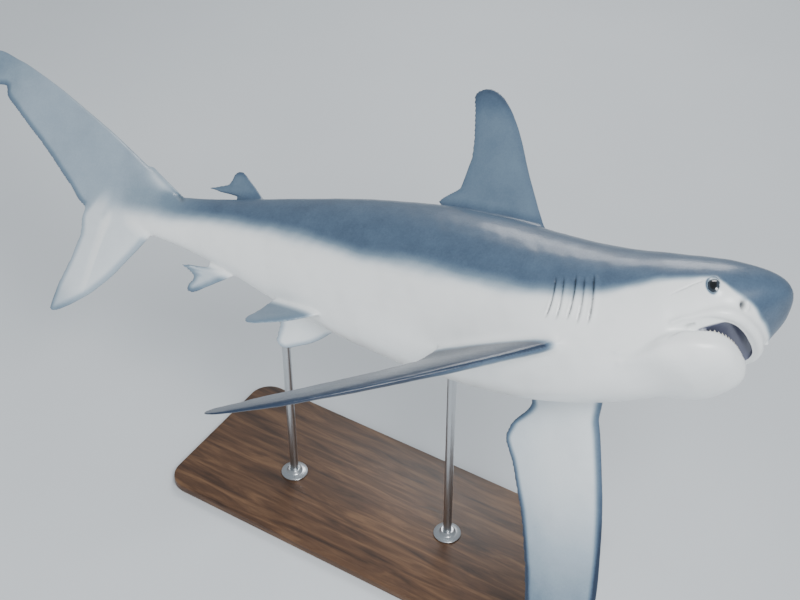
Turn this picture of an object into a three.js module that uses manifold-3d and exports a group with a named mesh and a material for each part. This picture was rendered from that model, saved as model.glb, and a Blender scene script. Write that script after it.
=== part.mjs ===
// A life-size requiem shark on a display stand.
// Millimetres, +Z up, the head towards +X.
//
// The body is first laid out straight in a swimming frame (x forward from the snout tip,
// y to the shark's left, z up), in fractions of the body length. The spine is then bent,
// the whole animal is pitched and banked, and two rods carry it above a flat base.

import * as THREE from 'three';
import { mergeVertices } from 'three/addons/utils/BufferGeometryUtils.js';
import Module from 'manifold-3d';

const wasm = await Module();
wasm.setup();

// ---- Driving dimensions ----------------------------------------------------------------

const LENGTH = 2200;            // snout tip to tail tip along the spine
const GAP = 0.3;                // clearance between neighbouring pieces
const SMALLEST_STEP = 0.2;      // surface steps below this are smoothed away
const FIN_EDGE = 0.7;           // half thickness of every fin at its edges
const FIN_TAPER = 0.78;         // how much thinner a fin is at its tip than at its base
const PAIRED_FIN_HOLD = 0.04;   // paired fins stay rigid, held this far behind their root

const BANK = 54;                // degrees, right flank up
const PITCH = 7.5;              // degrees, nose up
const SPINE_HEIGHT = 880;       // spine above the floor, at the reference station
const REFERENCE_STATION = 0.30;

// Where the spine turns: from and to are stations, side and lift are radians.
const SPINE_BENDS = [
  { from: 0.06, to: 0.30, side: 0.10, lift: 0.42 },
  { from: 0.30, to: 0.60, side: 0.11, lift: -0.07 },
  { from: 0.58, to: 0.95, side: 0.14, lift: -0.05 },
  { from: 0.06, to: 0.19, side: -0.045, lift: 0.010 },
];

// The head also turns about its own axis. It is turned all the way before from, in radians.
const HEAD_ROLL = { angle: -0.18, from: 0.075, to: 0.185 };

// Cross-sections of the body, as fractions of the length:
// station, top, bottom, half width, height of the widest line.
const BODY_SECTIONS = [
  [0.000, -0.0050, -0.0050, 0.0000, -0.0050],
  [0.004, 0.0060, -0.0150, 0.0150, -0.0060],
  [0.014, 0.0145, -0.0265, 0.0285, -0.0090],
  [0.030, 0.0235, -0.0375, 0.0405, -0.0115],
  [0.047, 0.0310, -0.0495, 0.0497, -0.0125],
  [0.062, 0.0365, -0.0555, 0.0550, -0.0130],
  [0.075, 0.0410, -0.0585, 0.0583, -0.0125],
  [0.085, 0.0440, -0.0620, 0.0600, -0.0115],
  [0.095, 0.0470, -0.0660, 0.0620, -0.0105],
  [0.105, 0.0500, -0.0740, 0.0640, -0.0100],
  [0.125, 0.0555, -0.0800, 0.0660, -0.0100],
  [0.155, 0.0625, -0.0850, 0.0685, -0.0100],
  [0.200, 0.0700, -0.0900, 0.0705, -0.0100],
  [0.250, 0.0755, -0.0940, 0.0710, -0.0100],
  [0.300, 0.0785, -0.0960, 0.0705, -0.0100],
  [0.360, 0.0780, -0.0950, 0.0680, -0.0090],
  [0.425, 0.0720, -0.0885, 0.0615, -0.0070],
  [0.490, 0.0620, -0.0770, 0.0520, -0.0050],
  [0.553, 0.0500, -0.0610, 0.0405, -0.0030],
  [0.617, 0.0375, -0.0425, 0.0290, -0.0010],
  [0.675, 0.0280, -0.0290, 0.0200, 0.0000],
  [0.715, 0.0235, -0.0235, 0.0155, 0.0000],
];

// The lowered jaw, as station, top, bottom, half width, height of the widest line.
const JAW_SECTIONS = [
  [0.0490, -0.0640, -0.0646, 0.0000, -0.0643],
  [0.0515, -0.0585, -0.0715, 0.0185, -0.0650],
  [0.0570, -0.0548, -0.0775, 0.0305, -0.0650],
  [0.0660, -0.0516, -0.0812, 0.0388, -0.0650],
  [0.0780, -0.0500, -0.0835, 0.0455, -0.0645],
  [0.0930, -0.0515, -0.0845, 0.0507, -0.0640],
  [0.1060, -0.0545, -0.0825, 0.0525, -0.0645],
  [0.1250, -0.0590, -0.0770, 0.0480, -0.0660],
];

const JAW_CROWN = 5;            // the rim that carries the teeth is nearly flat

// The hollow of the mouth, cut up into the head above the jaw.
const MOUTH_HOLLOW = [
  [0.0440, -0.0500, -0.0504, 0.0000, -0.0502],
  [0.0465, -0.0490, -0.0620, 0.0205, -0.0570],
  [0.0520, -0.0470, -0.0640, 0.0310, -0.0590],
  [0.0600, -0.0450, -0.0640, 0.0370, -0.0590],
  [0.0700, -0.0440, -0.0620, 0.0400, -0.0580],
  [0.0790, -0.0440, -0.0590, 0.0410, -0.0550],
];

// Stations where the body is parted into its named lengths.
const BODY_LENGTHS = [
  { name: 'head', from: 0.0, to: 0.150, rings: 17 },
  { name: 'trunk_front', from: 0.150, to: 0.325, rings: 7 },
  { name: 'trunk_middle', from: 0.325, to: 0.490, rings: 6 },
  { name: 'trunk_rear', from: 0.490, to: 0.617, rings: 5 },
  { name: 'tail_stock', from: 0.617, to: 0.715, rings: 4 },
];

// Fins. root is the base of the leading edge (station, left, up). out points from the base
// to the tip and face is the fin's upper or left-hand side, both as forward, left, up.
// outline lists height (share of the span), leading edge and trailing edge.
const PECTORAL_OUTLINE = [
  [-0.14, 0.004, 0.062],
  [0.00, 0.000, 0.070],
  [0.07, 0.001, 0.100],
  [0.12, 0.002, 0.109],
  [0.20, 0.005, 0.106],
  [0.35, 0.012, 0.106],
  [0.50, 0.022, 0.110],
  [0.68, 0.038, 0.119],
  [0.83, 0.058, 0.127],
  [0.94, 0.083, 0.129],
  [1.00, 0.112, 0.112],
];
const PELVIC_OUTLINE = [
  [-0.35, 0.004, 0.044],
  [0.00, 0.000, 0.050],
  [0.12, 0.003, 0.068],
  [0.30, 0.010, 0.070],
  [0.60, 0.024, 0.066],
  [0.86, 0.042, 0.066],
  [1.00, 0.058, 0.058],
];
const FINS = [
  {
    name: 'first_dorsal_fin', root: [0.268, 0, 0.074], out: [0, 0, 1], face: [0, 1, 0],
    span: 0.143, thick: 0.0064, rows: 13,
    outline: [
      [-0.20, -0.020, 0.095],
      [0.00, 0.000, 0.096],
      [0.055, 0.006, 0.128],
      [0.10, 0.011, 0.124],
      [0.20, 0.022, 0.111],
      [0.40, 0.042, 0.111],
      [0.60, 0.060, 0.117],
      [0.80, 0.080, 0.126],
      [0.93, 0.097, 0.132],
      [1.00, 0.119, 0.119],
    ],
  },
  {
    name: 'second_dorsal_fin', root: [0.592, 0, 0.040], out: [0, 0, 1], face: [0, 1, 0],
    span: 0.030, thick: 0.0030, rows: 9,
    outline: [
      [-0.35, -0.004, 0.034],
      [0.00, 0.000, 0.036],
      [0.12, 0.004, 0.072],
      [0.26, 0.009, 0.062],
      [0.45, 0.016, 0.050],
      [0.80, 0.030, 0.048],
      [1.00, 0.042, 0.042],
    ],
  },
  {
    name: 'anal_fin', root: [0.595, 0, -0.045], out: [0, 0, -1], face: [0, -1, 0],
    span: 0.032, thick: 0.0030, rows: 9,
    outline: [
      [-0.35, -0.004, 0.036],
      [0.00, 0.000, 0.039],
      [0.12, 0.005, 0.070],
      [0.26, 0.011, 0.060],
      [0.45, 0.020, 0.051],
      [0.80, 0.036, 0.055],
      [1.00, 0.050, 0.050],
    ],
  },
  {
    name: 'pectoral_fin_right', paired: true, root: [0.192, -0.058, -0.050], span: 0.312, thick: 0.0080,
    out: [-0.46, -0.69, -0.53], face: [-0.245, -0.47, 0.84],
    rows: 12, outline: PECTORAL_OUTLINE,
  },
  {
    name: 'pectoral_fin_left', paired: true, root: [0.188, 0.056, -0.068], span: 0.312, thick: 0.0080,
    out: [0.25, 0.47, -0.85], face: [0.03, 0.88, 0.47],
    rows: 12, outline: PECTORAL_OUTLINE,
  },
  {
    name: 'pelvic_fin_right', paired: true, root: [0.465, -0.022, -0.068], span: 0.062, thick: 0.0038,
    out: [-0.30, -0.62, -0.72], face: [-0.10, -0.74, 0.66],
    rows: 9, outline: PELVIC_OUTLINE,
  },
  {
    name: 'pelvic_fin_left', paired: true, root: [0.465, 0.022, -0.068], span: 0.062, thick: 0.0038,
    out: [-0.30, 0.62, -0.72], face: [-0.10, 0.74, 0.66],
    rows: 9, outline: PELVIC_OUTLINE,
  },
  {
    name: 'caudal_upper_lobe', root: [0.693, 0, 0.0245], span: 0.325, thick: 0.0125,
    out: [-0.893, 0, 0.450], face: [0, 1, 0], rows: 15,
    outline: [
      [-0.06, 0.004, 0.036],
      [0.00, 0.000, 0.046],
      [0.15, -0.002, 0.072],
      [0.29, -0.004, 0.080],
      [0.38, -0.005, 0.073],
      [0.55, -0.006, 0.060],
      [0.72, -0.005, 0.049],
      [0.82, -0.003, 0.042],
      [0.855, -0.002, 0.034],
      [0.89, 0.000, 0.040],
      [0.95, 0.003, 0.036],
      [1.00, 0.015, 0.015],
    ],
  },
  {
    name: 'caudal_lower_lobe', root: [0.712, 0, -0.014], span: 0.150, thick: 0.0070,
    out: [-0.50, 0, -0.866], face: [0, 1, 0], rows: 13,
    outline: [
      [-0.30, 0.006, 0.060],
      [0.00, 0.000, 0.086],
      [0.30, -0.003, 0.084],
      [0.45, -0.003, 0.066],
      [0.65, 0.000, 0.051],
      [0.85, 0.009, 0.039],
      [0.95, 0.016, 0.031],
      [1.00, 0.024, 0.024],
    ],
  },
];
const FIN_CHORD_STEPS = 6;
const endStation = (table) => table[table.length - 1][0];
const JAW_TIP = JAW_SECTIONS[0][0];
const JAW_BACK = endStation(JAW_SECTIONS);
const JAW_RINGS = 8;
const HOLLOW_RINGS = 5;
const BODY_END = endStation(BODY_SECTIONS);
const WHOLE_BODY_RINGS = 38;
const RING_POINTS = 32;
const FIN_CROWDING = 1.6;       // chord steps are closer together at a fin's leading edge
const TIP_CUT = 0.012;          // the last ring of a fin stops this short of a sharp point
const FRONT_CROWDING = 1.7;     // rings are closer together at a rounded front end
const FRONT_CUT = 0.0012;       // share of a loft that is left off its rounded front end

const EYE = { station: 0.0600, side: 0.0462, up: -0.0175, radius: 0.0098 };

const GILLS = { first: 0.166, last: 0.206, count: 5, reach: 0.023, width: 3.2, depth: 9, bow: 7 };

const TEETH = {
  perSide: 11,
  height: 7,
  sunk: 4,                      // how deep a tooth's root stands in the jaw
  radius: 2.3,
  sides: 4,
  first: 0.0520,
  last: 0.0770,
  inset: 0.88,                  // how far out on the rim the side teeth stand
  spread: 5,                    // how soon the row of teeth reaches that far out
};

const STAND = {
  baseLength: 1100,
  baseWidth: 460,
  baseHeight: 22,
  cornerRadius: 60,
  rodRadius: 11,
  collarRadius: 36,
  collarHeight: 16,
  edge: 3,
  centreStation: 0.44,          // the base is centred under this point of the spine
  rodStations: [0.345, 0.560],
  rodReach: [60, 40],           // how far below the spine each rod stops
};

// ---- Curves and sections ---------------------------------------------------------------

/** Returns a smooth function through rows of numbers that never overshoots them. */
function monotoneCurve(places, values) {
  const count = places.length;
  const steps = [];
  for (let i = 0; i < count - 1; i += 1) {
    steps.push((values[i + 1] - values[i]) / (places[i + 1] - places[i]));
  }
  const slopes = [steps[0]];
  for (let i = 1; i < count - 1; i += 1) {
    const before = steps[i - 1];
    const after = steps[i];
    slopes.push(before * after > 0 ? (2 * before * after) / (before + after) : 0);
  }
  slopes.push(steps[count - 2]);
  return (place) => {
    const at = Math.min(Math.max(place, places[0]), places[count - 1]);
    let i = 0;
    while (i < count - 2 && at > places[i + 1]) i += 1;
    const width = places[i + 1] - places[i];
    const t = (at - places[i]) / width;
    const t2 = t * t;
    const t3 = t2 * t;
    return (
      (2 * t3 - 3 * t2 + 1) * values[i] +
      (t3 - 2 * t2 + t) * width * slopes[i] +
      (3 * t2 - 2 * t3) * values[i + 1] +
      (t3 - t2) * width * slopes[i + 1]
    );
  };
}

/**
 * Curves of a section table. The square root of the distance rounds the front end, and
 * crown says how square the upper half is: 2 is an ellipse.
 */
function sectionCurves(table, crown = 2) {
  const front = table[0][0];
  const places = table.map((row) => Math.sqrt(row[0] - front));
  const curves = [1, 2, 3, 4].map((column) => {
    const values = table.map((row) => row[column]);
    return monotoneCurve(places, values);
  });
  return (station) => {
    const place = Math.sqrt(Math.max(station - front, 0));
    const [top, bottom, half, widest] = curves.map((curve) => curve(place));
    return { top, bottom, half, widest, crown };
  };
}

const bodySection = sectionCurves(BODY_SECTIONS);
const jawSection = sectionCurves(JAW_SECTIONS, JAW_CROWN);
const hollowSection = sectionCurves(MOUTH_HOLLOW);

/** How square the lower half of a section is: 2 is an ellipse. */
function lowerExponent(station) {
  const fromMouth = (station - 0.055) / 0.06;
  return 2 + 0.6 * Math.exp(-fromMouth * fromMouth);
}

function signedPower(value, power) {
  return Math.sign(value) * Math.abs(value) ** power;
}

/** A point on the skin of a section, in millimetres, grown outward by grow. */
function skinPoint(section, station, angle, grow) {
  const { top, bottom, half, widest, crown } = section(station);
  const up = Math.sin(angle);
  const exponent = up < 0 ? lowerExponent(station) : crown;
  const height = up < 0 ? widest - bottom : top - widest;
  const across = signedPower(Math.cos(angle), 2 / exponent) * (half * LENGTH + grow);
  const rise = signedPower(up, 2 / exponent) * (height * LENGTH + grow);
  return new THREE.Vector3(-station * LENGTH, across, widest * LENGTH + rise);
}

// ---- The bent spine --------------------------------------------------------------------

const smooth = (t) => {
  const u = Math.min(Math.max(t, 0), 1);
  return u * u * (3 - 2 * u);
};

/** Turn of the spine at a station, measured from the reference station. */
function spineTurn(station, kind) {
  const turned = (s) =>
    SPINE_BENDS.reduce((sum, bend) => sum + bend[kind] * smooth((s - bend.from) / (bend.to - bend.from)), 0);
  return turned(station) - turned(REFERENCE_STATION);
}

/** The directions forward, left and up of the spine at a station. */
function spineAxes(station) {
  const side = spineTurn(station, 'side');
  const lift = spineTurn(station, 'lift');
  const { angle, from, to } = HEAD_ROLL;
  const forward = new THREE.Vector3(
    Math.cos(side) * Math.cos(lift),
    Math.sin(side) * Math.cos(lift),
    -Math.sin(lift),
  );
  const roll = angle * (1 - smooth((station - from) / (to - from)));
  const left = new THREE.Vector3(-Math.sin(side), Math.cos(side), 0).applyAxisAngle(forward, roll);
  return { forward, left, up: new THREE.Vector3().crossVectors(forward, left) };
}

const SPINE_STEPS = 1040;
const SPINE_END = 1.04;

/** Walks the spine both ways from the reference station and keeps its points. */
function layOutSpine() {
  const step = SPINE_END / SPINE_STEPS;
  const start = Math.round(REFERENCE_STATION / step);
  const points = [];
  points[start] = new THREE.Vector3(-REFERENCE_STATION * LENGTH, 0, 0);
  for (let i = start; i < SPINE_STEPS; i += 1) {
    const middle = spineAxes((i + 0.5) * step).forward;
    points[i + 1] = points[i].clone().addScaledVector(middle, -step * LENGTH);
  }
  for (let i = start; i > 0; i -= 1) {
    const middle = spineAxes((i - 0.5) * step).forward;
    points[i - 1] = points[i].clone().addScaledVector(middle, step * LENGTH);
  }
  return points;
}

const spinePoints = layOutSpine();

function spinePoint(station) {
  const at = (Math.min(Math.max(station, 0), SPINE_END) * SPINE_STEPS) / SPINE_END;
  const i = Math.min(Math.floor(at), SPINE_STEPS - 1);
  return spinePoints[i].clone().lerp(spinePoints[i + 1], at - i);
}

/** Moves a point of the straight animal to its place on the bent one. */
function bendPoint(point) {
  const station = Math.min(Math.max(-point.x / LENGTH, 0), SPINE_END);
  const { forward, left, up } = spineAxes(station);
  return spinePoint(station)
    .addScaledVector(forward, point.x + station * LENGTH)
    .addScaledVector(left, point.y)
    .addScaledVector(up, point.z);
}

// ---- Solids ----------------------------------------------------------------------------

/** Joins rings of points, each with the same count, into a closed geometry. */
function ringLoft(rings) {
  const size = rings[0].length;
  const positions = [];
  const indices = [];
  rings.forEach((ring) => ring.forEach((p) => positions.push(p.x, p.y, p.z)));
  for (let r = 0; r < rings.length - 1; r += 1) {
    for (let i = 0; i < size; i += 1) {
      const a = r * size + i;
      const b = r * size + ((i + 1) % size);
      indices.push(a, a + size, b, b, a + size, b + size);
    }
  }
  const ends = [
    { ring: rings[0], first: 0, flip: false },
    { ring: rings[rings.length - 1], first: (rings.length - 1) * size, flip: true },
  ];
  for (const { ring, first, flip } of ends) {
    const centre = ring.reduce((sum, p) => sum.add(p), new THREE.Vector3()).divideScalar(size);
    const hub = positions.length / 3;
    positions.push(centre.x, centre.y, centre.z);
    for (let i = 0; i < size; i += 1) {
      const a = first + i;
      const b = first + ((i + 1) % size);
      indices.push(hub, ...(flip ? [b, a] : [a, b]));
    }
  }
  const geometry = new THREE.BufferGeometry();
  geometry.setAttribute('position', new THREE.Float32BufferAttribute(positions, 3));
  geometry.setIndex(indices);
  return geometry;
}

/** A copy of a geometry that keeps only the positions, with shared corners merged. */
function bareGeometry(geometry) {
  const bare = geometry.clone();
  bare.deleteAttribute('normal');
  bare.deleteAttribute('uv');
  return mergeVertices(bare, 1e-4);
}

/** Turns a closed geometry into a solid that can be joined and cut. */
function toSolid(geometry) {
  const bare = bareGeometry(geometry);
  const vertProperties = new Float32Array(bare.getAttribute('position').array);
  const triVerts = new Uint32Array(bare.index.array);
  return new wasm.Manifold(new wasm.Mesh({ numProp: 3, vertProperties, triVerts }));
}

function toGeometry(solid) {
  const mesh = solid.getMesh();
  const geometry = new THREE.BufferGeometry();
  geometry.setAttribute('position', new THREE.BufferAttribute(mesh.vertProperties.slice(), 3));
  geometry.setIndex(new THREE.BufferAttribute(mesh.triVerts.slice(), 1));
  geometry.computeVertexNormals();
  return geometry;
}

/** A length of a loft between two stations, with rings closer together at a rounded front. */
function bodySolid(section, from, to, count, grow = 0) {
  const rings = [];
  const rounded = from === 0 || section !== bodySection;
  for (let r = 0; r <= count; r += 1) {
    const share = rounded ? (r / count) ** FRONT_CROWDING : r / count;
    const station = from + (to - from) * Math.max(share, rounded ? FRONT_CUT : 0);
    const ring = [];
    for (let i = 0; i < RING_POINTS; i += 1) {
      const angle = (2 * Math.PI * (i + 0.5)) / RING_POINTS;
      ring.push(bendPoint(skinPoint(section, station, angle, grow)));
    }
    rings.push(ring);
  }
  return toSolid(ringLoft(rings));
}

/** Turns a closed geometry's faces outward if they point in. */
function facingOut(geometry) {
  const place = geometry.getAttribute('position');
  const index = Array.from(geometry.index.array);
  const corner = (i) => new THREE.Vector3().fromBufferAttribute(place, index[i]);
  let volume = 0;
  for (let i = 0; i < index.length; i += 3) {
    volume += corner(i).dot(corner(i + 1).cross(corner(i + 2))) / 6;
  }
  if (volume < 0) index.reverse();
  geometry.setIndex(index);
  return geometry;
}

/** Carries points of the straight animal rigidly with the spine at one station. */
function carriedBy(station) {
  const { forward, left, up } = spineAxes(station);
  const centre = spinePoint(station);
  return (point) =>
    centre
      .clone()
      .addScaledVector(forward, point.x + station * LENGTH)
      .addScaledVector(left, point.y)
      .addScaledVector(up, point.z);
}

/** Thickness of a fin from its leading (0) to its trailing edge (1), as a share of the most. */
function finThickness(share) {
  const u = Math.min(Math.max(share, 0), 1);
  const series = 0.2969 * Math.sqrt(u) - 0.126 * u - 0.3516 * u ** 2 + 0.2843 * u ** 3 - 0.1036 * u ** 4;
  return 10 * series;
}

/** A fin as a closed solid. Its edges are curves in the root of the distance to the tip. */
function finSolid(fin, grow = 0) {
  const out = new THREE.Vector3(...fin.out).normalize();
  const aft = new THREE.Vector3().crossVectors(out, new THREE.Vector3(...fin.face)).normalize();
  if (aft.x > 0) aft.negate();
  const side = new THREE.Vector3().crossVectors(aft, out);
  const origin = new THREE.Vector3(-fin.root[0], fin.root[1], fin.root[2]).multiplyScalar(LENGTH);
  const rows = [...fin.outline].reverse();
  const places = rows.map((row) => Math.sqrt(1 - row[0]));
  const leading = monotoneCurve(places, rows.map((row) => row[1]));
  const trailing = monotoneCurve(places, rows.map((row) => row[2]));
  const toPose = fin.paired ? carriedBy(fin.root[0] + PAIRED_FIN_HOLD) : bendPoint;
  const rings = [];
  for (let r = 0; r <= fin.rows; r += 1) {
    const place = places[places.length - 1] * Math.max(1 - r / fin.rows, TIP_CUT);
    const height = 1 - place * place;
    const front = leading(place) * LENGTH - grow;
    const chord = trailing(place) * LENGTH + grow - front;
    const taper = 1 - FIN_TAPER * Math.max(height, 0);
    const thick = fin.thick * LENGTH * taper * Math.min(1, place * 3);
    const ring = [];
    for (let i = 0; i < 2 * FIN_CHORD_STEPS + 2; i += 1) {
      const facing = i <= FIN_CHORD_STEPS ? 1 : -1;
      const step = facing > 0 ? i : 2 * FIN_CHORD_STEPS + 1 - i;
      const along = (step / FIN_CHORD_STEPS) ** FIN_CROWDING;
      const half = thick * finThickness(along) + FIN_EDGE + grow;
      const point = origin
        .clone()
        .addScaledVector(aft, front + along * chord)
        .addScaledVector(out, height * fin.span * LENGTH)
        .addScaledVector(side, facing * half);
      ring.push(toPose(point));
    }
    rings.push(ring);
  }
  return toSolid(facingOut(ringLoft(rings)));
}

/** The largest piece of a cut solid, without loose crumbs or needlessly small faces. */
function mainBody(solid) {
  const pieces = solid.decompose();
  const largest = pieces.reduce((best, piece) => (piece.volume() > best.volume() ? piece : best));
  return largest.simplify(SMALLEST_STEP);
}

// ---- Eyes, teeth and gills -------------------------------------------------------------

function eyeSolid(side, grow = 0) {
  const ball = new THREE.SphereGeometry(EYE.radius * LENGTH + grow, 12, 8);
  const centre = new THREE.Vector3(-EYE.station, side * EYE.side, EYE.up).multiplyScalar(LENGTH);
  const place = bendPoint(centre);
  ball.translate(place.x, place.y, place.z);
  return toSolid(ball);
}

/** One tooth: a slim pointed cone standing on the jaw's rim. */
function toothSolid(root, grow) {
  const height = TEETH.height + TEETH.sunk + 4 * grow;
  const cone = new THREE.ConeGeometry(TEETH.radius + grow, height, TEETH.sides);
  cone.rotateX(Math.PI / 2);
  const lift = (TEETH.height - TEETH.sunk) / 2;
  cone.translate(root.x, root.y, root.z + lift);
  const place = cone.getAttribute('position');
  for (let i = 0; i < place.count; i += 1) {
    const moved = bendPoint(new THREE.Vector3().fromBufferAttribute(place, i));
    place.setXYZ(i, moved.x, moved.y, moved.z);
  }
  return toSolid(cone);
}

/** The lower teeth, from one corner of the mouth round the front to the other. */
function lowerTeeth(grow = 0) {
  const teeth = [];
  for (let i = -TEETH.perSide; i <= TEETH.perSide; i += 1) {
    const share = Math.abs(i) / TEETH.perSide;
    const station = TEETH.first + (TEETH.last - TEETH.first) * share * share;
    const { half, top, widest, crown } = jawSection(station);
    const outward = Math.min(TEETH.inset, share * TEETH.spread);
    const rim = widest + (top - widest) * (1 - outward ** crown) ** (1 / crown);
    const place = new THREE.Vector3(-station, Math.sign(i) * half * outward, rim);
    teeth.push(toothSolid(place.multiplyScalar(LENGTH), grow));
  }
  return teeth;
}

/** Thin bowed blades that cut the gill openings into one flank. */
function gillCutters(side) {
  const cutters = [];
  for (let i = 0; i < GILLS.count; i += 1) {
    const share = i / (GILLS.count - 1);
    const station = GILLS.first + (GILLS.last - GILLS.first) * share;
    const reach = (GILLS.reach * (1 - 0.2 * share)) / bodySection(station).half;
    const blade = new THREE.BoxGeometry(GILLS.width, 2 * GILLS.depth, 2, 1, 1, 3);
    const place = blade.getAttribute('position');
    for (let k = 0; k < place.count; k += 1) {
      const level = place.getZ(k);
      const skin = skinPoint(bodySection, station, reach * level, place.getY(k));
      const forward = skin.x + place.getX(k) - GILLS.bow * level * level;
      const moved = bendPoint(new THREE.Vector3(forward, side * skin.y, skin.z));
      place.setXYZ(k, moved.x, moved.y, moved.z);
    }
    cutters.push(toSolid(facingOut(bareGeometry(blade))));
  }
  return cutters;
}

// ---- The stand -------------------------------------------------------------------------

/** A turned piece about a vertical axis, from radius and height pairs. */
function turned(pairs, segments) {
  const profile = pairs.map(([radius, height]) => new THREE.Vector2(radius, height));
  const geometry = new THREE.LatheGeometry(profile, segments);
  geometry.rotateX(Math.PI / 2);
  return geometry;
}

function baseGeometry() {
  const { baseLength: length, baseWidth: width, cornerRadius: radius, baseHeight, edge } = STAND;
  const outline = new THREE.Shape();
  const x = length / 2 - edge;
  const y = width / 2 - edge;
  outline.moveTo(-x + radius, -y);
  outline.lineTo(x - radius, -y);
  outline.absarc(x - radius, -y + radius, radius, -Math.PI / 2, 0);
  outline.absarc(x - radius, y - radius, radius, 0, Math.PI / 2);
  outline.absarc(-x + radius, y - radius, radius, Math.PI / 2, Math.PI);
  outline.absarc(-x + radius, -y + radius, radius, Math.PI, 1.5 * Math.PI);
  const options = {
    depth: baseHeight - 2 * edge,
    bevelEnabled: true,
    bevelThickness: edge,
    bevelSize: edge,
    bevelSegments: 1,
    curveSegments: 3,
  };
  const geometry = new THREE.ExtrudeGeometry(outline, options);
  geometry.translate(0, 0, edge);
  return geometry;
}

function rodGeometry(bottom, top, grow = 0) {
  const radius = STAND.rodRadius + grow;
  const chamfer = 1.5;
  return turned(
    [[0, bottom], [radius, bottom], [radius, top - chamfer], [radius - chamfer, top], [0, top]],
    16,
  );
}

function collarGeometry() {
  const inner = STAND.rodRadius + GAP;
  const { collarRadius: outer, collarHeight: height } = STAND;
  return turned(
    [[inner, 0], [outer, 0], [outer, 4], [outer * 0.62, 7], [inner + 5, height], [inner, height], [inner, 0]],
    16,
  );
}

// ---- Assembly --------------------------------------------------------------------------

const finish = {
  hide: new THREE.MeshStandardMaterial({ color: '#8fa3b4', roughness: 0.42, metalness: 0 }),
  fin: new THREE.MeshStandardMaterial({ color: '#5d7083', roughness: 0.45, metalness: 0 }),
  jaw: new THREE.MeshStandardMaterial({ color: '#dfe5e8', roughness: 0.4, metalness: 0 }),
  eye: new THREE.MeshStandardMaterial({ color: '#15181c', roughness: 0.08, metalness: 0 }),
  base: new THREE.MeshStandardMaterial({ color: '#3b3a38', roughness: 0.5, metalness: 0 }),
  rod: new THREE.MeshStandardMaterial({ color: '#b9bcc0', roughness: 0.3, metalness: 1 }),
};

function named(name, geometry, material) {
  const mesh = new THREE.Mesh(geometry, material);
  mesh.name = name;
  return mesh;
}

// The whole animal stands in the room: pitched, banked, raised, and centred on its base.
const shark = new THREE.Group();
const turn = new THREE.Matrix4()
  .makeRotationY(-THREE.MathUtils.degToRad(PITCH))
  .multiply(new THREE.Matrix4().makeRotationX(-THREE.MathUtils.degToRad(BANK)));
const baseCentre = spinePoint(STAND.centreStation);
const reference = spinePoint(REFERENCE_STATION);
const overBase = baseCentre.clone().sub(reference).applyMatrix4(turn);
shark.applyMatrix4(
  new THREE.Matrix4()
    .makeTranslation(-overBase.x, -overBase.y, SPINE_HEIGHT)
    .multiply(turn)
    .multiply(new THREE.Matrix4().makeTranslation(-reference.x, -reference.y, -reference.z)),
);
shark.updateMatrixWorld(true);
const roomToShark = shark.matrixWorld.clone().invert();

const part = new THREE.Group();
part.add(shark);
part.add(named('stand_base', baseGeometry(), finish.base));

const rodHoles = STAND.rodStations.map((station, i) => {
  const spine = spinePoint(station).applyMatrix4(shark.matrixWorld);
  const top = spine.z - STAND.rodReach[i];
  const suffix = i === 0 ? 'front' : 'rear';
  const foot = STAND.baseHeight + GAP;
  const rod = named(`stand_rod_${suffix}`, rodGeometry(foot, top), finish.rod);
  rod.position.set(spine.x, spine.y, 0);
  const collar = named(`stand_collar_${suffix}`, collarGeometry(), finish.rod);
  collar.position.set(spine.x, spine.y, foot);
  part.add(rod, collar);
  const hole = rodGeometry(foot, top + GAP, GAP);
  hole.translate(spine.x, spine.y, 0);
  return toSolid(hole.applyMatrix4(roomToShark));
});

const cutAll = (solid, cutters) => cutters.reduce((left, cutter) => left.subtract(cutter), solid);
const sides = [
  { name: 'left', y: 1 },
  { name: 'right', y: -1 },
];

for (const { name, from, to, rings } of BODY_LENGTHS) {
  let solid = bodySolid(bodySection, from, to - GAP / LENGTH, rings);
  if (name === 'head') {
    const hollow = bodySolid(hollowSection, MOUTH_HOLLOW[0][0], endStation(MOUTH_HOLLOW), HOLLOW_RINGS);
    const jawRoom = bodySolid(jawSection, JAW_TIP, JAW_BACK + GAP / LENGTH, JAW_RINGS, GAP);
    solid = cutAll(solid, [hollow, jawRoom, ...lowerTeeth(GAP)]);
    solid = cutAll(solid, sides.map((side) => eyeSolid(side.y, GAP)));
  }
  if (name === 'trunk_front') {
    solid = cutAll(solid, sides.flatMap((side) => gillCutters(side.y)));
  }
  shark.add(named(name, toGeometry(mainBody(cutAll(solid, rodHoles))), finish.hide));
}

const jaw = bodySolid(jawSection, JAW_TIP, JAW_BACK, JAW_RINGS);
const toothedJaw = lowerTeeth().reduce((solid, tooth) => solid.add(tooth), jaw);
shark.add(named('lower_jaw', toGeometry(mainBody(toothedJaw)), finish.jaw));

for (const { name, y } of sides) {
  shark.add(named(`eye_${name}`, toGeometry(eyeSolid(y)), finish.eye));
}

// Each fin ends where the body begins. The lower tail lobe also ends at the upper one.
const wholeBody = bodySolid(bodySection, 0, BODY_END, WHOLE_BODY_RINGS, GAP);
const upperLobe = FINS.find((fin) => fin.name === 'caudal_upper_lobe');
for (const fin of FINS) {
  let solid = finSolid(fin).subtract(wholeBody);
  if (fin.name === 'caudal_lower_lobe') solid = solid.subtract(finSolid(upperLobe, GAP));
  shark.add(named(fin.name, toGeometry(mainBody(solid)), finish.fin));
}

export default part;
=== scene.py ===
"""A life-size requiem shark on its display stand, as a finished museum model.

The flesh is one skin. It is worked out on a straight animal (x forward from the snout tip,
y to its left, z up), meshed there, and then bent and posed as the frame is.
"""

import logging
import math
from dataclasses import dataclass, field
from enum import Enum
from typing import Callable, Sequence

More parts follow.
